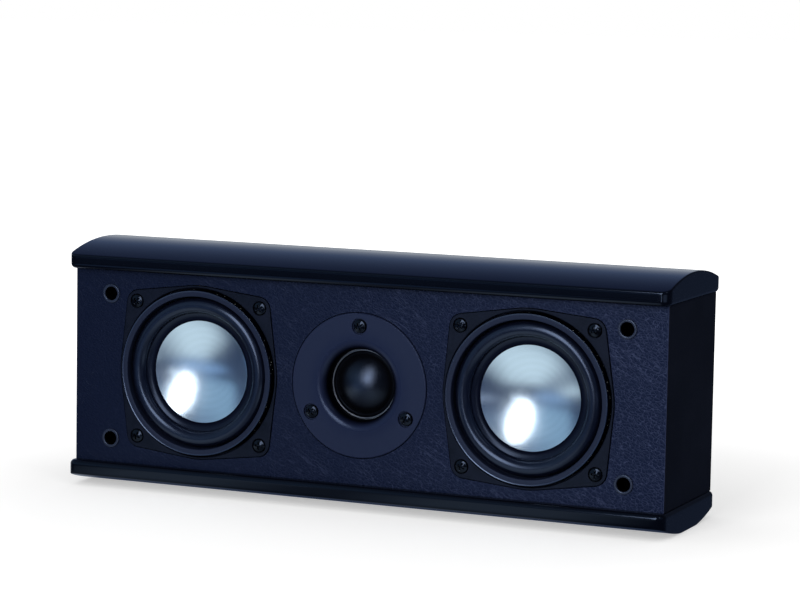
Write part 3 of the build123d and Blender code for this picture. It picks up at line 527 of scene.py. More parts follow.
def dome_finish(name, rgb, middle, edge):
    """Coated cloth: a fine weave under a satin coat that thins out towards the foot of the dome."""
    finish = Finish(name, cool=True)
    weave = finish.weave(0.0005)
    coated = finish.remap(finish.radius(middle), 0.2 * edge, edge, 1.0, 0.12)
    return finish.shade(
        Base_Color=finish.tint(weave, scaled(rgb, 0.7), scaled(rgb, 1.3)), Roughness=0.22,
        Specular_IOR_Level=finish.math("POWER", coated, 1.6), Normal=finish.bump(weave, 0.00005, 0.45))


def cloth_finish(name, rgb, thread, rough):
    """Plain woven cloth."""
    finish = Finish(name, cool=True)
    weave = finish.weave(thread)
    return finish.shade(
        Base_Color=finish.tint(weave, scaled(rgb, 0.7), scaled(rgb, 1.3)),
        Roughness=finish.spread(finish.noise(0.004), rough - 0.05, rough + 0.05),
        Normal=finish.bump(weave, thread / 14, 0.6))


def metal_finish(name, rgb, rough, metallic=1.0):
    """Plated or bare metal with faint handling marks."""
    finish = Finish(name)
    marks = finish.noise(0.004, 5.0, 0.7)
    return finish.shade(
        Base_Color=finish.mottle(marks, rgb, 0.88, 1.0), Metallic=metallic,
        Roughness=finish.spread(marks, rough - 0.04, rough + 0.06),
        Normal=finish.bump(finish.noise(0.0008), 0.000006))


def gloss_finish(name, rgb):
    """Black gloss over steel, with faint handling marks."""
    finish = Finish(name, cool=True)
    marks = finish.noise(0.002, 4.0, 0.7)
    return finish.shade(
        Base_Color=finish.mottle(marks, rgb, 0.6, 1.2), Specular_IOR_Level=0.32,
        Roughness=finish.spread(marks, 0.05, 0.1))


def winding_finish(name, rgb, gauge, direction):
    """Enamelled wire wound in close turns."""
    finish = Finish(name)
    turns = finish.waves(gauge, direction)
    return finish.shade(
        Base_Color=finish.tint(turns, scaled(rgb, 0.45), rgb, 0.1, 0.6), Metallic=0.9, Roughness=0.3,
        Normal=finish.bump(turns, gauge / 3))


def stone_finish(name, rgb, grain):
    """Pressed or cast material: speckled and matt."""
    finish = Finish(name)
    grains = finish.noise(grain, 4.0, 0.7)
    return finish.shade(
        Base_Color=finish.mottle(grains, rgb, 0.7, 1.25), Roughness=finish.spread(grains, 0.6, 0.8),
        Normal=finish.bump(grains, grain / 8, 0.6))


def board_finish(name, rgb, wrap, wrap_start):
    """Bare fibre board, speckled and matt, wrapped in vinyl over its rear end from wrap_start on."""
    finish = Finish(name)
    grains = finish.noise(0.0012, 4.0, 0.7)
    wrapped = finish.rise(finish.axis("Y"), wrap_start - 0.0001, wrap_start)
    return finish.shade(
        Base_Color=finish.mix(wrapped, finish.mottle(grains, rgb, 0.7, 1.25), wrap),
        Roughness=finish.spread(grains, 0.6, 0.7), Specular_IOR_Level=finish.fade(wrapped, 0.4, 0.12),
        Normal=finish.bump(grains, 0.00008, 0.4))


def dress(finish, *nodes):
    """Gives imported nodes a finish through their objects' material slots."""
    for node in nodes:
        for slot in bpy.data.objects[node].material_slots:
            slot.material = finish


def middle_of(node):
    """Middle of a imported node's box, moved onto the plane of the baffle's front."""
    low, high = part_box(node)
    return np.array(((low.x + high.x) / 2, FRONT_Y, (low.z + high.z) / 2))


def make_piece(name, sheets, finish, crease=32.0):
    """Joins grids of points into one closed mesh.

    Each sheet is (grid, closed): the grid's columns always run round and join up, and its rows join up where
    closed is true.  Each four neighbouring points make a face; points that coincide are merged.
    """
    points, faces, count = [], [], 0
    for grid, closed in sheets:
        rows, columns = grid.shape[:2]
        index = count + np.arange(rows * columns).reshape(rows, columns)
        index = np.hstack([index, index[:, :1]])
        if closed:
            index = np.vstack([index, index[:1]])
        quads = np.stack([index[:-1, :-1], index[1:, :-1], index[1:, 1:], index[:-1, 1:]], axis=-1)
        faces.append(quads.reshape(-1, 4))
        points.append(grid.reshape(-1, 3))
        count += rows * columns
    mesh = bpy.data.meshes.new(name)
    mesh.from_pydata(np.concatenate(points).tolist(), [], np.concatenate(faces).tolist())
    shell = bmesh.new()
    shell.from_mesh(mesh)
    bmesh.ops.remove_doubles(shell, verts=shell.verts, dist=SAME_POINT)
    bmesh.ops.recalc_face_normals(shell, faces=shell.faces)
    shell.to_mesh(mesh)
    shell.free()
    mesh.shade_smooth()
    mesh.set_sharp_from_angle(angle=np.radians(crease))
    mesh.materials.append(finish)
    piece = bpy.data.objects.new(name, mesh)
    bpy.context.collection.objects.link(piece)
    return piece


def turned(profile, centre, segments):
    """Turns a profile about an axis that points out of the front.

    A point is centre + radius (cos a across + sin a up) + height out, where a profile row holds radius and
    height and a runs through a whole turn.
    """
    angle = np.linspace(0, 2 * np.pi, segments, endpoint=False)
    up = np.array((0.0, 0.0, 1.0))
    across = np.cross(up, FRONT)
    rim = np.cos(angle)[:, None] * across + np.sin(angle)[:, None] * up
    return centre + profile[:, None, :1] * rim + profile[:, None, 1:] * FRONT


def arc(start, via, end, steps):
    """Points of the circle through three points, from the first by way of the second to the third.

    The centre is as far from each of the three, which gives two linear equations for it.
    """
    corners = np.array((start, via, end))
    spans = corners[1:] - corners[0]
    centre = corners[0] + np.linalg.solve(2 * spans, (spans**2).sum(axis=1))
    angles = np.unwrap(np.arctan2(corners[:, 1] - centre[1], corners[:, 0] - centre[0]))
    sweep = np.linspace(angles[0], angles[2], steps)
    return centre + np.linalg.norm(corners[0] - centre) * np.stack([np.cos(sweep), np.sin(sweep)], axis=-1)


def eased(corners, radii, steps=7):
    """A closed outline whose corners are rounded.

    Each corner is an arc that touches both its edges, at radius / tan(half the angle) from the corner.
    """
    corners, radii = np.array(corners), np.array(radii)[:, None]
    back = np.roll(corners, 1, axis=0) - corners
    onward = np.roll(corners, -1, axis=0) - corners
    back /= np.linalg.norm(back, axis=1, keepdims=True)
    onward /= np.linalg.norm(onward, axis=1, keepdims=True)
    half = np.arccos((back * onward).sum(axis=1, keepdims=True)) / 2
    bisector = (back + onward) / np.linalg.norm(back + onward, axis=1, keepdims=True)
    centre = corners + bisector * radii / np.sin(half)
    first = corners + back * radii / np.tan(half) - centre
    last = corners + onward * radii / np.tan(half) - centre
    along = np.linspace(0, 1, steps)[None, :, None]
    spread = np.maximum(np.pi - 2 * half, 1e-9)[:, :, None]
    bend = np.sin((1 - along) * spread) * first[:, None] + np.sin(along * spread) * last[:, None]
    return (centre[:, None] + bend / np.sin(spread)).reshape(-1, 2)


def plan_rings(half_length, half_depth, corner, inset):
    """Rings of a rounded rectangle, each drawn in by an inset.

    The corners keep their centres until the inset passes their radius, and then become sharp and move in
    along the diagonal.
    """
    side_points, corner_points = (150, 40), 14
    inset = np.asarray(inset)[:, None]
    reach = np.maximum(inset, corner)
    radius = np.maximum(corner - inset, 0)
    corners = []
    for quarter, (sign_x, sign_y) in enumerate(((1, 1), (-1, 1), (-1, -1), (1, -1))):
        angle = np.linspace(quarter, quarter + 1, corner_points) * np.pi / 2
        corners.append(np.stack([sign_x * (half_length - reach) + radius * np.cos(angle),
                                 sign_y * (half_depth - reach) + radius * np.sin(angle)], axis=-1))
    parts = []
    for quarter in range(4):
        along = np.linspace(0, 1, side_points[quarter % 2] + 2)[None, 1:-1, None]
        here, after = corners[quarter][:, -1:], corners[(quarter + 1) % 4][:, :1]
        parts += [corners[quarter], here + along * (after - here)]
    return np.concatenate(parts, axis=1)


def cap_surface(node, box_face, outwards, sizes):
    """A cap as rings of its plan, from the middle of its flat face round to the middle of its arch.

    Height is 0 on the flat face, a quarter circle round the foot, then the wall up to the arch less the
    arris, a quarter circle over the arris, and on the arch crown - R + sqrt(R^2 - y^2), cut off at the rest
    land below.
    """
    flat_rings, round_rings, wall_rings, arch_rings = 9, 9, 4, 45
    low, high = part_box(node)
    half_length, half_depth = (high.x - low.x) / 2, (high.y - low.y) / 2
    rise = sizes.crown - sizes.edge_height
    radius = (half_depth**2 + rise**2) / (2 * rise)
    turn = np.linspace(0, np.pi / 2, round_rings)
    flat = np.linspace(half_depth, sizes.foot, flat_rings + 1)[:-1]
    foot = sizes.foot * (1 - np.sin(turn))
    wall = np.zeros(wall_rings)
    arris = sizes.arris * (1 - np.cos(turn))
    top = np.linspace(sizes.arris, half_depth, arch_rings + 1)[1:]
    plan = plan_rings(half_length, half_depth, sizes.corner, np.concatenate([flat, foot, wall, arris, top]))
    arch = sizes.crown - radius + np.sqrt(radius**2 - plan[..., 1]**2)
    arch = np.minimum(arch, high.z - low.z)
    count = np.cumsum([len(flat), len(foot), len(wall), len(arris)])
    height = arch.copy()
    height[:count[0]] = 0
    height[count[0]:count[1]] = (sizes.foot * (1 - np.cos(turn)))[:, None]
    climb = np.linspace(0, 1, wall_rings + 2)[1:-1, None]
    wall_top = arch[count[1]:count[2]] - sizes.arris
    height[count[1]:count[2]] = sizes.foot + climb * (wall_top - sizes.foot)
    height[count[2]:count[3]] -= (sizes.arris * (1 - np.sin(turn)))[:, None]
    return np.dstack([plan[..., 0] + (low.x + high.x) / 2, plan[..., 1] + (low.y + high.y) / 2,
                      box_face + outwards * height])


def screw_surface(sizes, centre, seat, depth, turn):
    """A pan-head screw with a cross recess and a thread, as rings of a polar grid.

    The head's top is a shallow dome of height H (1 - (r/R)^2 / 2) with a rounded edge; the cross is the
    deeper of two smooth slots; on the shank the radius swings between root and crest with height over pitch
    less the angle.
    """
    face_share, edge_drop, cross_slope = 0.74, 0.65, 0.35
    soft, thread, point_share, point_radius = 0.00022, 0.0003, 0.12, 0.05
    angle = np.linspace(0, 2 * np.pi, 96, endpoint=False)[None]
    head, tall = sizes.head, sizes.head_height
    inner = np.linspace(0, face_share * head, 26)[:, None]
    x, z = inner * np.cos(angle), inner * np.sin(angle)

    def slot(along, across):
        wide = np.clip((sizes.cross_width / 2 - np.abs(across)) / soft + 0.5, 0, 1)
        long = np.clip((sizes.cross / 2 - np.abs(along)) / (2 * soft) + 0.5, 0, 1)
        return wide * wide * (3 - 2 * wide) * long * long * (3 - 2 * long)

    crown = tall * (1 - 0.5 * (inner / head)**2)
    recess = np.maximum(slot(x, z), slot(z, x))
    face = crown - recess * sizes.cross_depth * (1 - cross_slope * inner / head)
    edge = np.linspace(0, np.pi / 2, 9)[1:, None]
    start = crown[-1]
    rim = inner[-1] + (head - inner[-1]) * np.sin(edge)
    rim_height = (1 - edge_drop) * start + edge_drop * start * np.cos(edge)
    root = sizes.shank - thread
    along = np.linspace(0, 1, 90)[:, None]
    taper = np.clip((1 - along) / point_share, point_radius, 1)
    swing = 0.5 + 0.5 * np.cos(2 * np.pi * along * depth / sizes.pitch - angle)
    shank = (root + (sizes.shank - root) * swing**2) * taper
    row = np.ones_like(angle)
    radius = np.concatenate([inner * row, rim * row, head * row, sizes.shank * row, shank, 0 * row])
    height = np.concatenate([face, rim_height * row, 0 * row, 0 * row, -along * depth * row, -depth * row])
    spun = angle + turn
    return np.dstack([centre[0] + radius * np.cos(spun), FRONT_Y - seat - height,
                      centre[2] + radius * np.sin(spun)])


def bowl(edge, rim, middle, steps):
    """Half of an arc over the axis: from the height middle on the axis out to the height rim at the edge."""
    return arc((-edge, rim), (0.0, middle), (edge, rim), 2 * steps + 1)[steps:]


class SPEAKER_OT_cabinet(bpy.types.Operator):
    """Wraps the box: leather-grained front, smoother sides and back, bare board inside"""

    bl_idname = "speaker.cabinet"
    bl_label = "Cabinet wrap"

    def execute(self, context):
        colours = context.scene.speaker_finishes
        wrap_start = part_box("top_deck")[1].y - 0.0003
        dress(leather_finish("leather_vinyl", colours.vinyl, colours.vein_glint), "front_baffle")
        dress(vinyl_finish("side_vinyl", colours.side_vinyl),
              "left_side_panel", "right_side_panel", "rear_panel")
        dress(board_finish("fibre_board", colours.board, colours.side_vinyl, wrap_start),
              "top_deck", "bottom_deck")
        return {"FINISHED"}


class SPEAKER_OT_caps(bpy.types.Operator):
    """Makes the two arched caps in gloss lacquer"""

    bl_idname = "speaker.caps"
    bl_label = "Lacquered caps"

    def execute(self, context):
        sizes = context.scene.speaker_caps
        finish = lacquer_finish("gloss_lacquer", context.scene.speaker_finishes.lacquer)
        for node, box_face, outwards in (("top_cap", BOX_TOP, 1), ("bottom_cap", BOX_BOTTOM, -1)):
            surface = cap_surface(node, box_face, outwards, sizes)
            cap = make_piece(f"{node}_lacquered", [(surface, False)], finish)
            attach(cap, "cabinet")
            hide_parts(node)
        return {"FINISHED"}


class SPEAKER_OT_sockets(bpy.types.Operator):
    """Makes the four sockets for the grille's pegs"""

    bl_idname = "speaker.sockets"
    bl_label = "Grille sockets"

    def execute(self, context):
        sizes = context.scene.speaker_hardware
        finish = socket_finish("socket_plastic", context.scene.speaker_finishes.socket)
        bore, rim, barrel = sizes.socket_bore, sizes.socket_rim, sizes.socket_barrel
        near_axis, edge, lip = 0.0004, 0.0004, 0.0005
        for node in (f"grille_socket_{level}_{side}" for level in ("upper", "lower") for side in SIDES):
            low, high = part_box(node)
            top, end = FRONT_Y - low.y, FRONT_Y - high.y
            floor = end + sizes.socket_floor
            outline = eased(
                [(near_axis, floor), (bore, floor), (bore, top), (rim, top), (rim, 0.0), (barrel, 0.0),
                 (barrel, end), (near_axis, end)],
                [0, edge, lip, edge, 0, 0, lip, 0])
            outline = np.concatenate([[(0.0, floor)], outline, [(0.0, end)]])
            socket = make_piece(f"{node}_moulded", [(turned(outline, middle_of(node), 72), False)], finish)
            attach(socket, "cabinet")
            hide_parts(node)
        return {"FINISHED"}


class SPEAKER_OT_woofer_frames(bpy.types.Operator):
    """Paints the woofers' frames"""

    bl_idname = "speaker.woofer_frames"
    bl_label = "Woofer frames"

    def execute(self, context):
        dress(paint_finish("frame_paint", context.scene.speaker_finishes.frame_paint),
              *(f"{side}_woofer_frame" for side in SIDES))
        return {"FINISHED"}


class SPEAKER_OT_gaskets(bpy.types.Operator):
    """Makes the rubber gasket rings with their sloping outer wall and rounded edges"""

    bl_idname = "speaker.gaskets"
    bl_label = "Gasket rings"

    def execute(self, context):
        sizes = context.scene.speaker_woofers
        foot = sizes.seat + sizes.rubber
        bead_edge, bead_foot = 0.00015, 0.0004
        for side in SIDES:
            node = f"{side}_woofer_gasket_ring"
            centre = middle_of(node)
            finish = gasket_finish(f"gasket_rubber_{side}", context.scene.speaker_finishes.gasket, centre,
                                   sizes.gasket_top)
            top = FRONT_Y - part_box(node)[0].y
            flat = top - sizes.bead_rise
            outline = eased(
                [(sizes.gasket_outer, foot), (sizes.gasket_top, top), (sizes.gasket_top - sizes.bead, flat),
                 (sizes.gasket_inner, flat), (sizes.gasket_inner, foot)],
                [0, bead_edge, bead_foot, sizes.gasket_edge, 0])
            gasket = make_piece(f"{node}_moulded", [(turned(outline, centre, 200), True)], finish)
            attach(gasket, "cabinet")
            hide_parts(node)
        return {"FINISHED"}


class SPEAKER_OT_surrounds(bpy.types.Operator):
    """Makes each surround in two rings that meet at its roll's crest, the inner one reaching in over the
    cone's rim
    """

    bl_idname = "speaker.surrounds"
    bl_label = "Rubber surrounds"

    def execute(self, context):
        sizes = context.scene.speaker_woofers
        thick, seat, lip = sizes.rubber, sizes.seat, sizes.lip
        outside, inside, lip_bend = sizes.roll_outer, sizes.roll_inner, sizes.lip_bend
        lip_curve, lip_edge, corner_steps = 0.006, 0.0006, 20
        top, under = sizes.roll_crest, sizes.roll_crest - thick
        crest = (outside + inside) / 2
        bend = outside - crest
        outer = eased(
            [(crest, top), (outside, top), (outside, seat + thick), (sizes.gasket_outer, seat + thick),
             (sizes.gasket_outer, seat), (outside - thick, seat), (outside - thick, under), (crest, under)],
            [0, bend, sizes.roll_foot, 0, 0, 0, bend - thick, 0], corner_steps)
        climb, bend_height = lip + sizes.lip_rise, lip + sizes.lip_rise / 10
        inner = eased(
            [(crest, under), (crest, top), (inside, top), (inside, climb + thick),
             (lip_bend, bend_height + thick), (sizes.lip_inner, lip + thick), (sizes.lip_inner, lip),
             (lip_bend, bend_height), (inside + thick, climb), (inside + thick, under)],
            [0, 0, bend, sizes.roll_foot, lip_curve, lip_edge, 0, 0, 0, bend - thick], corner_steps)
        shine_start, shine_full = sizes.lip_inner + 0.0008, inside + 0.001
        for side in SIDES:
            node = f"{side}_woofer_surround"
            centre = middle_of(node)
            finish = rubber_finish(f"surround_rubber_{side}", context.scene.speaker_finishes.rubber, centre,
                                   shine_start, shine_full)
            fixed = make_piece(f"{node}_outer", [(turned(outer, centre, 200), True)], finish)
            moving = make_piece(f"{node}_inner", [(turned(inner, centre, 200), True)], finish)
            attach(fixed, "cabinet")
            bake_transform(moving)
            for piece in (fixed, moving):
                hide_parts(node)
        return {"FINISHED"}


class SPEAKER_OT_cones(bpy.types.Operator):
    """Makes the dished cones in spun aluminium"""

    bl_idname = "speaker.cones"
    bl_label = "Aluminium cones"

    def execute(self, context):
        sizes = context.scene.speaker_woofers
        dish = bowl(sizes.lip_inner, sizes.lip, sizes.lip - sizes.dish, 48)
        outline = np.concatenate([
            dish, [(sizes.cone_rim, sizes.lip), (sizes.cone_rim, sizes.lip - sizes.sheet)],
            (dish - (0.0, sizes.sheet))[::-1]])
        for side in SIDES:
            node = f"{side}_woofer_cone"
            centre = middle_of(node)
            finish = spun_finish(f"cone_aluminium_{side}", context.scene.speaker_finishes.aluminium, centre)
            cone = make_piece(f"{node}_spun", [(turned(outline, centre, 192), False)], finish, crease=12.0)
            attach(cone, f"{side}_cone")
            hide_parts(node)
        return {"FINISHED"}


class SPEAKER_OT_tweeter(bpy.types.Operator):
    """Finishes the tweeter's plate and makes its cloth dome and trim ring"""

    bl_idname = "speaker.tweeter"
    bl_label = "Tweeter"

    def execute(self, context):
        sizes, colours = context.scene.speaker_tweeter, context.scene.speaker_finishes
        centre = middle_of("tweeter_dome")
        dress(plate_finish("plate_plastic", colours.plate, centre), "tweeter_faceplate")
        edge, rim, foot, ring_edge = sizes.trim_outer, sizes.rim, sizes.dome_radius, 0.0003
        ring_top = rim + sizes.trim_thickness
        dome = bowl(foot, rim, rim + sizes.dome_rise, 40)
        crest = ((sizes.roll_outer + foot) / 2, rim + sizes.roll_rise)
        roll = arc((foot, rim), crest, (sizes.roll_outer, rim), 25)
        front = np.concatenate([dome, roll[1:], [(edge, rim)]])
        outline = np.concatenate([front, (front - (0.0, sizes.cloth))[::-1]])
        cloth = make_piece("tweeter_dome_cloth", [(turned(outline, centre, 144), False)],
                           dome_finish("dome_cloth", colours.dome, centre, foot))
        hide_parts("tweeter_dome")
        ring = eased([(edge, rim), (edge, ring_top), (sizes.trim_inner, ring_top), (sizes.trim_inner, rim)],
                     [0, ring_edge, ring_edge, 0])
        trim = make_piece("tweeter_trim_ring_turned", [(turned(ring, centre, 144), True)],
                          metal_finish("trim_metal", colours.trim, 0.4))
        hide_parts("tweeter_trim_ring")
        for piece in (cloth, trim):
            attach(piece, "cabinet")
        return {"FINISHED"}


class SPEAKER_OT_driver_screws(bpy.types.Operator):
    """Makes the blackened cross-recess screws of the three drivers"""

    bl_idname = "speaker.driver_screws"
    bl_label = "Driver screws"

    def execute(self, context):
        sizes = context.scene.speaker_hardware
        finish = gloss_finish("black_screws", context.scene.speaker_finishes.screw)
        corners, thirds = (45, 135, 225, 315), (90, 210, 330)
        woofer_circle, tweeter_circle = 0.0385 * np.sqrt(2), 0.0328
        first_turn, next_turn = 0.5, 1.9
        # screws, the node that they stand round, their bearings in degrees, distance and twist in degrees
        for node, carrier, bearings, reach, twist in (
                ("left_woofer_screws", "left_woofer_gasket_ring", corners, woofer_circle, 0.4),
                ("right_woofer_screws", "right_woofer_gasket_ring", corners, woofer_circle, 1.65),
                ("tweeter_screws", "tweeter_faceplate", thirds, tweeter_circle, 0.0)):
            low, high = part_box(node)
            seat = FRONT_Y - low.y - sizes.head_height
            depth = high.y - low.y - sizes.head_height
            sheets = []
            for count, bearing in enumerate(bearings):
                angle = np.radians(bearing + twist)
                centre = middle_of(carrier) + reach * np.array((np.cos(angle), 0.0, np.sin(angle)))
                turn = first_turn + next_turn * count
                sheets.append((screw_surface(sizes, centre, seat, depth, turn), False))
            screws = make_piece(f"{node}_pan_head", sheets, finish)
            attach(screws, "cabinet")
            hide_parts(node)
        return {"FINISHED"}


class SPEAKER_OT_terminals(bpy.types.Operator):
    """Finishes the terminal cup and its binding posts"""

    bl_idname = "speaker.terminals"
    bl_label = "Terminals"

    def execute(self, context):
        colours = context.scene.speaker_finishes
        dress(moulded_finish("cup_plastic", colours.cup, 0.5, 0.0006), "terminal_cup")
        dress(metal_finish("cup_screws", colours.screw, 0.3, 0.0), "terminal_cup_screws")
        dress(metal_finish("gold_plate", colours.gold, 0.2),
              *(f"{name}_post{part}" for name in ("red", "black") for part in ("", "_bush")))
        for name, rgb in (("red", colours.red), ("black", colours.black)):
            dress(moulded_finish(f"{name}_knob_plastic", rgb, 0.24, 0.0012), f"{name}_post_knob")
        return {"FINISHED"}


class SPEAKER_OT_inside(bpy.types.Operator):
    """Finishes the motors and the crossover inside the box"""

    bl_idname = "speaker.inside"
    bl_label = "Inside parts"

    def execute(self, context):
        colours = context.scene.speaker_finishes
        drivers = ("left_woofer", "right_woofer", "tweeter")
        woofers = drivers[:2]
        dress(metal_finish("plated_steel", colours.steel, 0.32), "post_nuts",
              *(f"{driver}_{part}" for driver in drivers for part in ("front_plate", "yoke")))
        dress(stone_finish("ferrite", colours.ferrite, 0.0009), *(f"{driver}_magnet" for driver in drivers))
        dress(metal_finish("former_foil", colours.foil, 0.3),
              *(f"{driver}_coil_former" for driver in woofers))
        dress(winding_finish("coil_wire", colours.copper, 0.0003, "Y"), "inductor_winding",
              *(f"{driver}_voice_coil" for driver in drivers))
        dress(cloth_finish("spider_cloth", colours.spider, 0.0008, 0.8),
              *(f"{driver}_spider" for driver in woofers))
        dress(metal_finish("terminal_brass", colours.brass, 0.3),
              *(f"{driver}_terminals" for driver in drivers))
        dress(stone_finish("board_laminate", colours.laminate, 0.0008), "crossover_board")
        dress(moulded_finish("spool_plastic", colours.black, 0.5), "inductor_spool")
        dress(moulded_finish("capacitor_sleeve", colours.sleeve, 0.28, 0.0015), "capacitors")
        dress(stone_finish("cement", colours.cement, 0.0006), "resistor")
        return {"FINISHED"}


# Patches of the floor that glow for what mirrors it: low corner, high corner, reach of the soft sides, colour
FLOOR_GLOW = (
    ((-0.2, FRONT_Y - 0.19), (-0.09, FRONT_Y - 0.02), 0.03, (0.72, 0.8, 0.78)),
    ((-0.09, FRONT_Y - 0.19), (0.0, FRONT_Y - 0.02), 0.03, (0.2, 0.22, 0.22)),
    ((0.0, FRONT_Y - 0.19), (0.13, FRONT_Y - 0.02), 0.03, (0.72, 0.8, 0.78)),
    ((-0.5, -0.7), (-0.06, -0.27), 0.07, (0.26, 0.4, 0.6)),
    ((-1.4, -2.6), (-0.1, -1.3), 0.15, (0.2, 0.31, 0.47)),
    ((0.05, -1.4), (0.15, -0.7), 0.04, (3.6, 3.8, 4.0)),
    ((0.45, -1.3), (1.2, -0.5), 0.12, (0.7, 0.76, 0.88)),
    ((-0.36, FRONT_Y + 0.01), (-0.18, 0.06), 0.012, (0.6, 0.66, 0.72)),
)


class SPEAKER_OT_stage(bpy.types.Operator):
    """Sets the floor, the studio light and the camera of the photograph"""

    bl_idname = "speaker.stage"
    bl_label = "Stage"

    def execute(self, context):
        settings = context.scene.speaker_stage
        self.lay_floor(settings)
        self.hang_world(context.scene, settings)
        middle = Vector((0.0, FRONT_Y, 0.07))
        self.lamp("key_softbox", Vector((-0.05, -1.57, 0.6)), middle, (0.66, 1.3), settings.key_power, -0.15)
        self.lamp("side_softbox", Vector((1.15, -0.8, 1.3)), middle, (0.3, 1.0), settings.side_power)
        self.set_camera(context.scene)
        context.scene.view_settings.view_transform = "Standard"
        return {"FINISHED"}

    def lay_floor(self, settings):
        """A flat sheet at the height of the rest land; what mirrors it sees dark grey with pale patches."""
        reach = np.array((-9.0, 9.0))
        x, y = np.meshgrid(reach, reach)
        mesh = bpy.data.meshes.new("studio_floor")
        corners = np.dstack([x, y, np.full_like(x, CAD_BOX[0].z)]).reshape(-1, 3)
        mesh.from_pydata(corners.tolist(), [], [(0, 1, 3, 2)])
        finish = Finish("studio_floor")
        finish.shade(Base_Color=settings.floor, Roughness=0.9, Specular_IOR_Level=0.0)

        def glow(rgb, strength):
            return finish.node("ShaderNodeEmission", {"Color": rgb, "Strength": strength})

        rays = finish.nodes.new("ShaderNodeLightPath").outputs
        direct = finish.math("MAXIMUM", rays["Is Camera Ray"], rays["Is Transmission Ray"])
        distance = finish.node("ShaderNodeVectorMath", {0: finish.place}, "Value", operation="LENGTH")
        whiter = finish.math("MULTIPLY", direct, finish.remap(distance, 0.2, 0.7, 0.45, 1.0))
        seen = finish.node("ShaderNodeAddShader", {
            0: finish.shader.outputs["BSDF"], 1: glow((1.0, 1.0, 1.0), whiter)})
        mirrored = glow((0.035, 0.052, 0.1), 1.0)
        for low, high, soft, rgb in FLOOR_GLOW:
            mirrored = finish.node("ShaderNodeAddShader", {
                0: mirrored, 1: glow(rgb, self.patch(finish, low, high, soft))})
        mixed = finish.node("ShaderNodeMixShader", {0: rays["Is Glossy Ray"], 1: seen, 2: mirrored})
        finish.links.new(mixed, finish.nodes["Material Output"].inputs["Surface"])
        mesh.materials.append(finish.material)
        floor = bpy.data.objects.new("studio_floor", mesh)
        bpy.context.collection.objects.link(floor)

    def patch(self, finish, low, high, soft):
        """1 inside a rectangle of the floor and 0 outside it, with soft sides."""
        value = 1.0
        for name, start, end in zip("XY", low, high):
            along = finish.axis(name)
            value = finish.math("MULTIPLY", value, finish.rise(along, start - soft, start + soft))
            value = finish.math("MULTIPLY", value, finish.remap(along, end - soft, end + soft, 1.0, 0.0))
        return value

    def hang_world(self, scene, settings):
        """Hangs the surroundings: white to the camera, even light on the object, and their own to mirrors.

        Mirrors see them pale behind, blue at the left and dark in front and at the right.
        """
        world = bpy.data.worlds.new("studio")
        world.use_nodes = True
        world.node_tree.nodes.clear()
        scene.world = world
        sky = ShaderNodes(world.node_tree)

        def glow(rgb, strength=1.0):
            return sky.node("ShaderNodeBackground", {"Color": rgb, "Strength": strength})

        def mix(value, first, second):
            return sky.node("ShaderNodeMixShader", {0: value, 1: first, 2: second})

        white = (1.0, 1.0, 1.0)
        rays = sky.nodes.new("ShaderNodeLightPath").outputs
        place = sky.node("ShaderNodeTexCoord", {}, "Generated")
        across, depth, height = sky.node("ShaderNodeSeparateXYZ", {"Vector": place}).node.outputs
        behind = sky.ramp(
            height, (0.0, (0.48, 0.52, 0.57)), (0.13, (0.46, 0.51, 0.6)), (0.35, (0.155, 0.225, 0.41)),
            (0.66, (0.062, 0.095, 0.225)), (1.0, (0.04, 0.055, 0.11)))
        ahead = sky.ramp(
            height, (0.0, (0.025, 0.04, 0.085)), (0.1, (0.05, 0.08, 0.15)), (0.3, (0.14, 0.19, 0.28)),
            (0.6, (0.12, 0.16, 0.22)), (1.0, (0.07, 0.09, 0.16)))
        left = sky.ramp(
            height, (0.0, (0.2, 0.32, 0.46)), (0.1, (0.28, 0.42, 0.55)), (0.45, (0.27, 0.4, 0.52)),
            (0.65, (0.2, 0.29, 0.4)), (1.0, (0.1, 0.13, 0.2)))
        left_share = sky.math("MULTIPLY", sky.rise(across, -0.18, -0.42), sky.rise(across, -0.97, -0.87))
        in_front = mix(left_share, glow(ahead), glow(left))
        at_back = mix(sky.rise(across, -0.25, -0.05), glow(behind), glow((0.03, 0.04, 0.07)))
        mirrored = mix(sky.rise(depth, -0.16, 0.25), in_front, at_back)
        direct = sky.math("MAXIMUM", rays["Is Camera Ray"], rays["Is Transmission Ray"])
        lit = mix(rays["Is Glossy Ray"], glow(white, settings.ambient), mirrored)
        seen = mix(direct, lit, glow(white))
        sky.links.new(seen, sky.nodes.new("ShaderNodeOutputWorld").inputs["Surface"])

    def lamp(self, name, place, target, size, power, lean=0.0):
        """An oval softbox turned to the object, leaning to one side and left out of the camera's sight."""
        light = bpy.data.lights.new(name, "AREA")
        light.shape = "ELLIPSE"
        light.size, light.size_y = size
        light.energy = power
        lamp = bpy.data.objects.new(name, light)
        lamp.location = place
        aim = (target - place).to_track_quat("-Z", "Y")
        lamp.rotation_euler = (aim @ Quaternion((0.0, 0.0, 1.0), lean)).to_euler()
        lamp.visible_camera = False
        bpy.context.collection.objects.link(lamp)

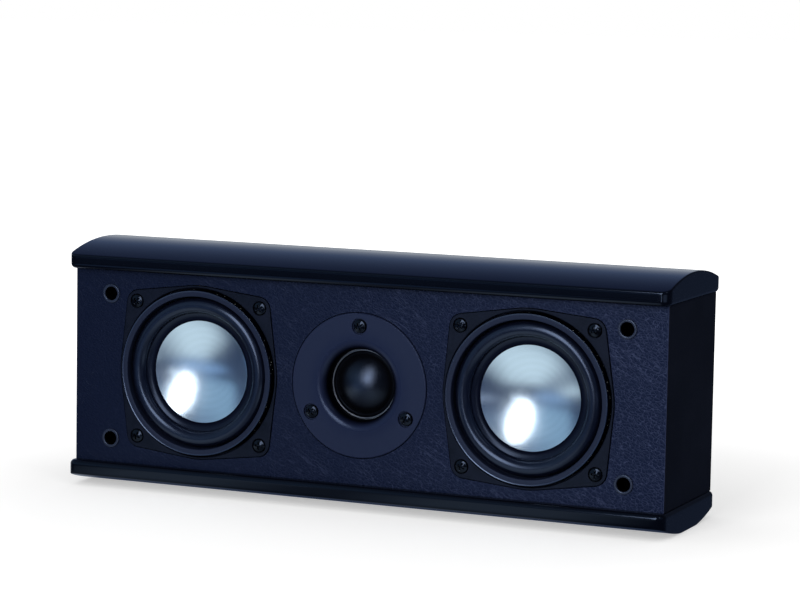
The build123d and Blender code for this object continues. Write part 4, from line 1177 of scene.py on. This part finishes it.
    def set_camera(self, scene):
        """A long lens at the photograph's angle: its axes come from a yaw, a pitch and a slight roll."""
        yaw, pitch, roll = 0.411483, -0.117007, 0.017444
        place = (0.674254, FRONT_Y - 1.490739, 0.307365)
        forward = Vector((-np.sin(yaw) * np.cos(pitch), np.cos(yaw) * np.cos(pitch), np.sin(pitch)))
        level = Vector((np.cos(yaw), np.sin(yaw), 0.0))
        upright = level.cross(forward)
        right = np.cos(roll) * level + np.sin(roll) * upright
        up = np.cos(roll) * upright - np.sin(roll) * level
        data = bpy.data.cameras.new("photo_camera")
        data.lens, data.sensor_width, data.clip_start = 135.7, 36.0, 0.02
        camera = bpy.data.objects.new("photo_camera", data)
        camera.matrix_world = Matrix.Translation(place) @ Matrix((right, up, -forward)).transposed().to_4x4()
        bpy.context.collection.objects.link(camera)
        scene.camera = camera


class SPEAKER_PT_panel(bpy.types.Panel):
    """Lists the loudspeaker's operators"""

    bl_idname = "SPEAKER_PT_panel"
    bl_label = "Loudspeaker"
    bl_space_type = "VIEW_3D"
    bl_region_type = "UI"
    bl_category = "Loudspeaker"

    def draw(self, context):
        for operator in OPERATORS:
            self.layout.operator(operator.bl_idname)


GROUPS = {
    "speaker_caps": CapSizes, "speaker_woofers": WooferSizes, "speaker_tweeter": TweeterSizes,
    "speaker_hardware": HardwareSizes, "speaker_finishes": Finishes, "speaker_stage": StageSettings,
}
OPERATORS = (
    SPEAKER_OT_cabinet, SPEAKER_OT_caps, SPEAKER_OT_sockets, SPEAKER_OT_woofer_frames, SPEAKER_OT_gaskets,
    SPEAKER_OT_surrounds, SPEAKER_OT_cones, SPEAKER_OT_tweeter, SPEAKER_OT_driver_screws,
    SPEAKER_OT_terminals, SPEAKER_OT_inside, SPEAKER_OT_stage,
)


def register():
    """Registers the classes and hangs the property groups on the scene."""
    for group in (*GROUPS.values(), *OPERATORS, SPEAKER_PT_panel):
        bpy.utils.register_class(group)
    for name, group in GROUPS.items():
        setattr(bpy.types.Scene, name, bpy.props.PointerProperty(type=group))


def unregister():
    """Takes the property groups and the classes away again."""
    for name in GROUPS:
        delattr(bpy.types.Scene, name)
    for group in (SPEAKER_PT_panel, *reversed(OPERATORS), *GROUPS.values()):
        bpy.utils.unregister_class(group)


def main():
    """Registers the add-on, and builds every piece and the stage."""
    register()
    for operator in OPERATORS:
        category, action = operator.bl_idname.split(".")
        getattr(getattr(bpy.ops, category), action)()


if __name__ == "__main__":
    main()
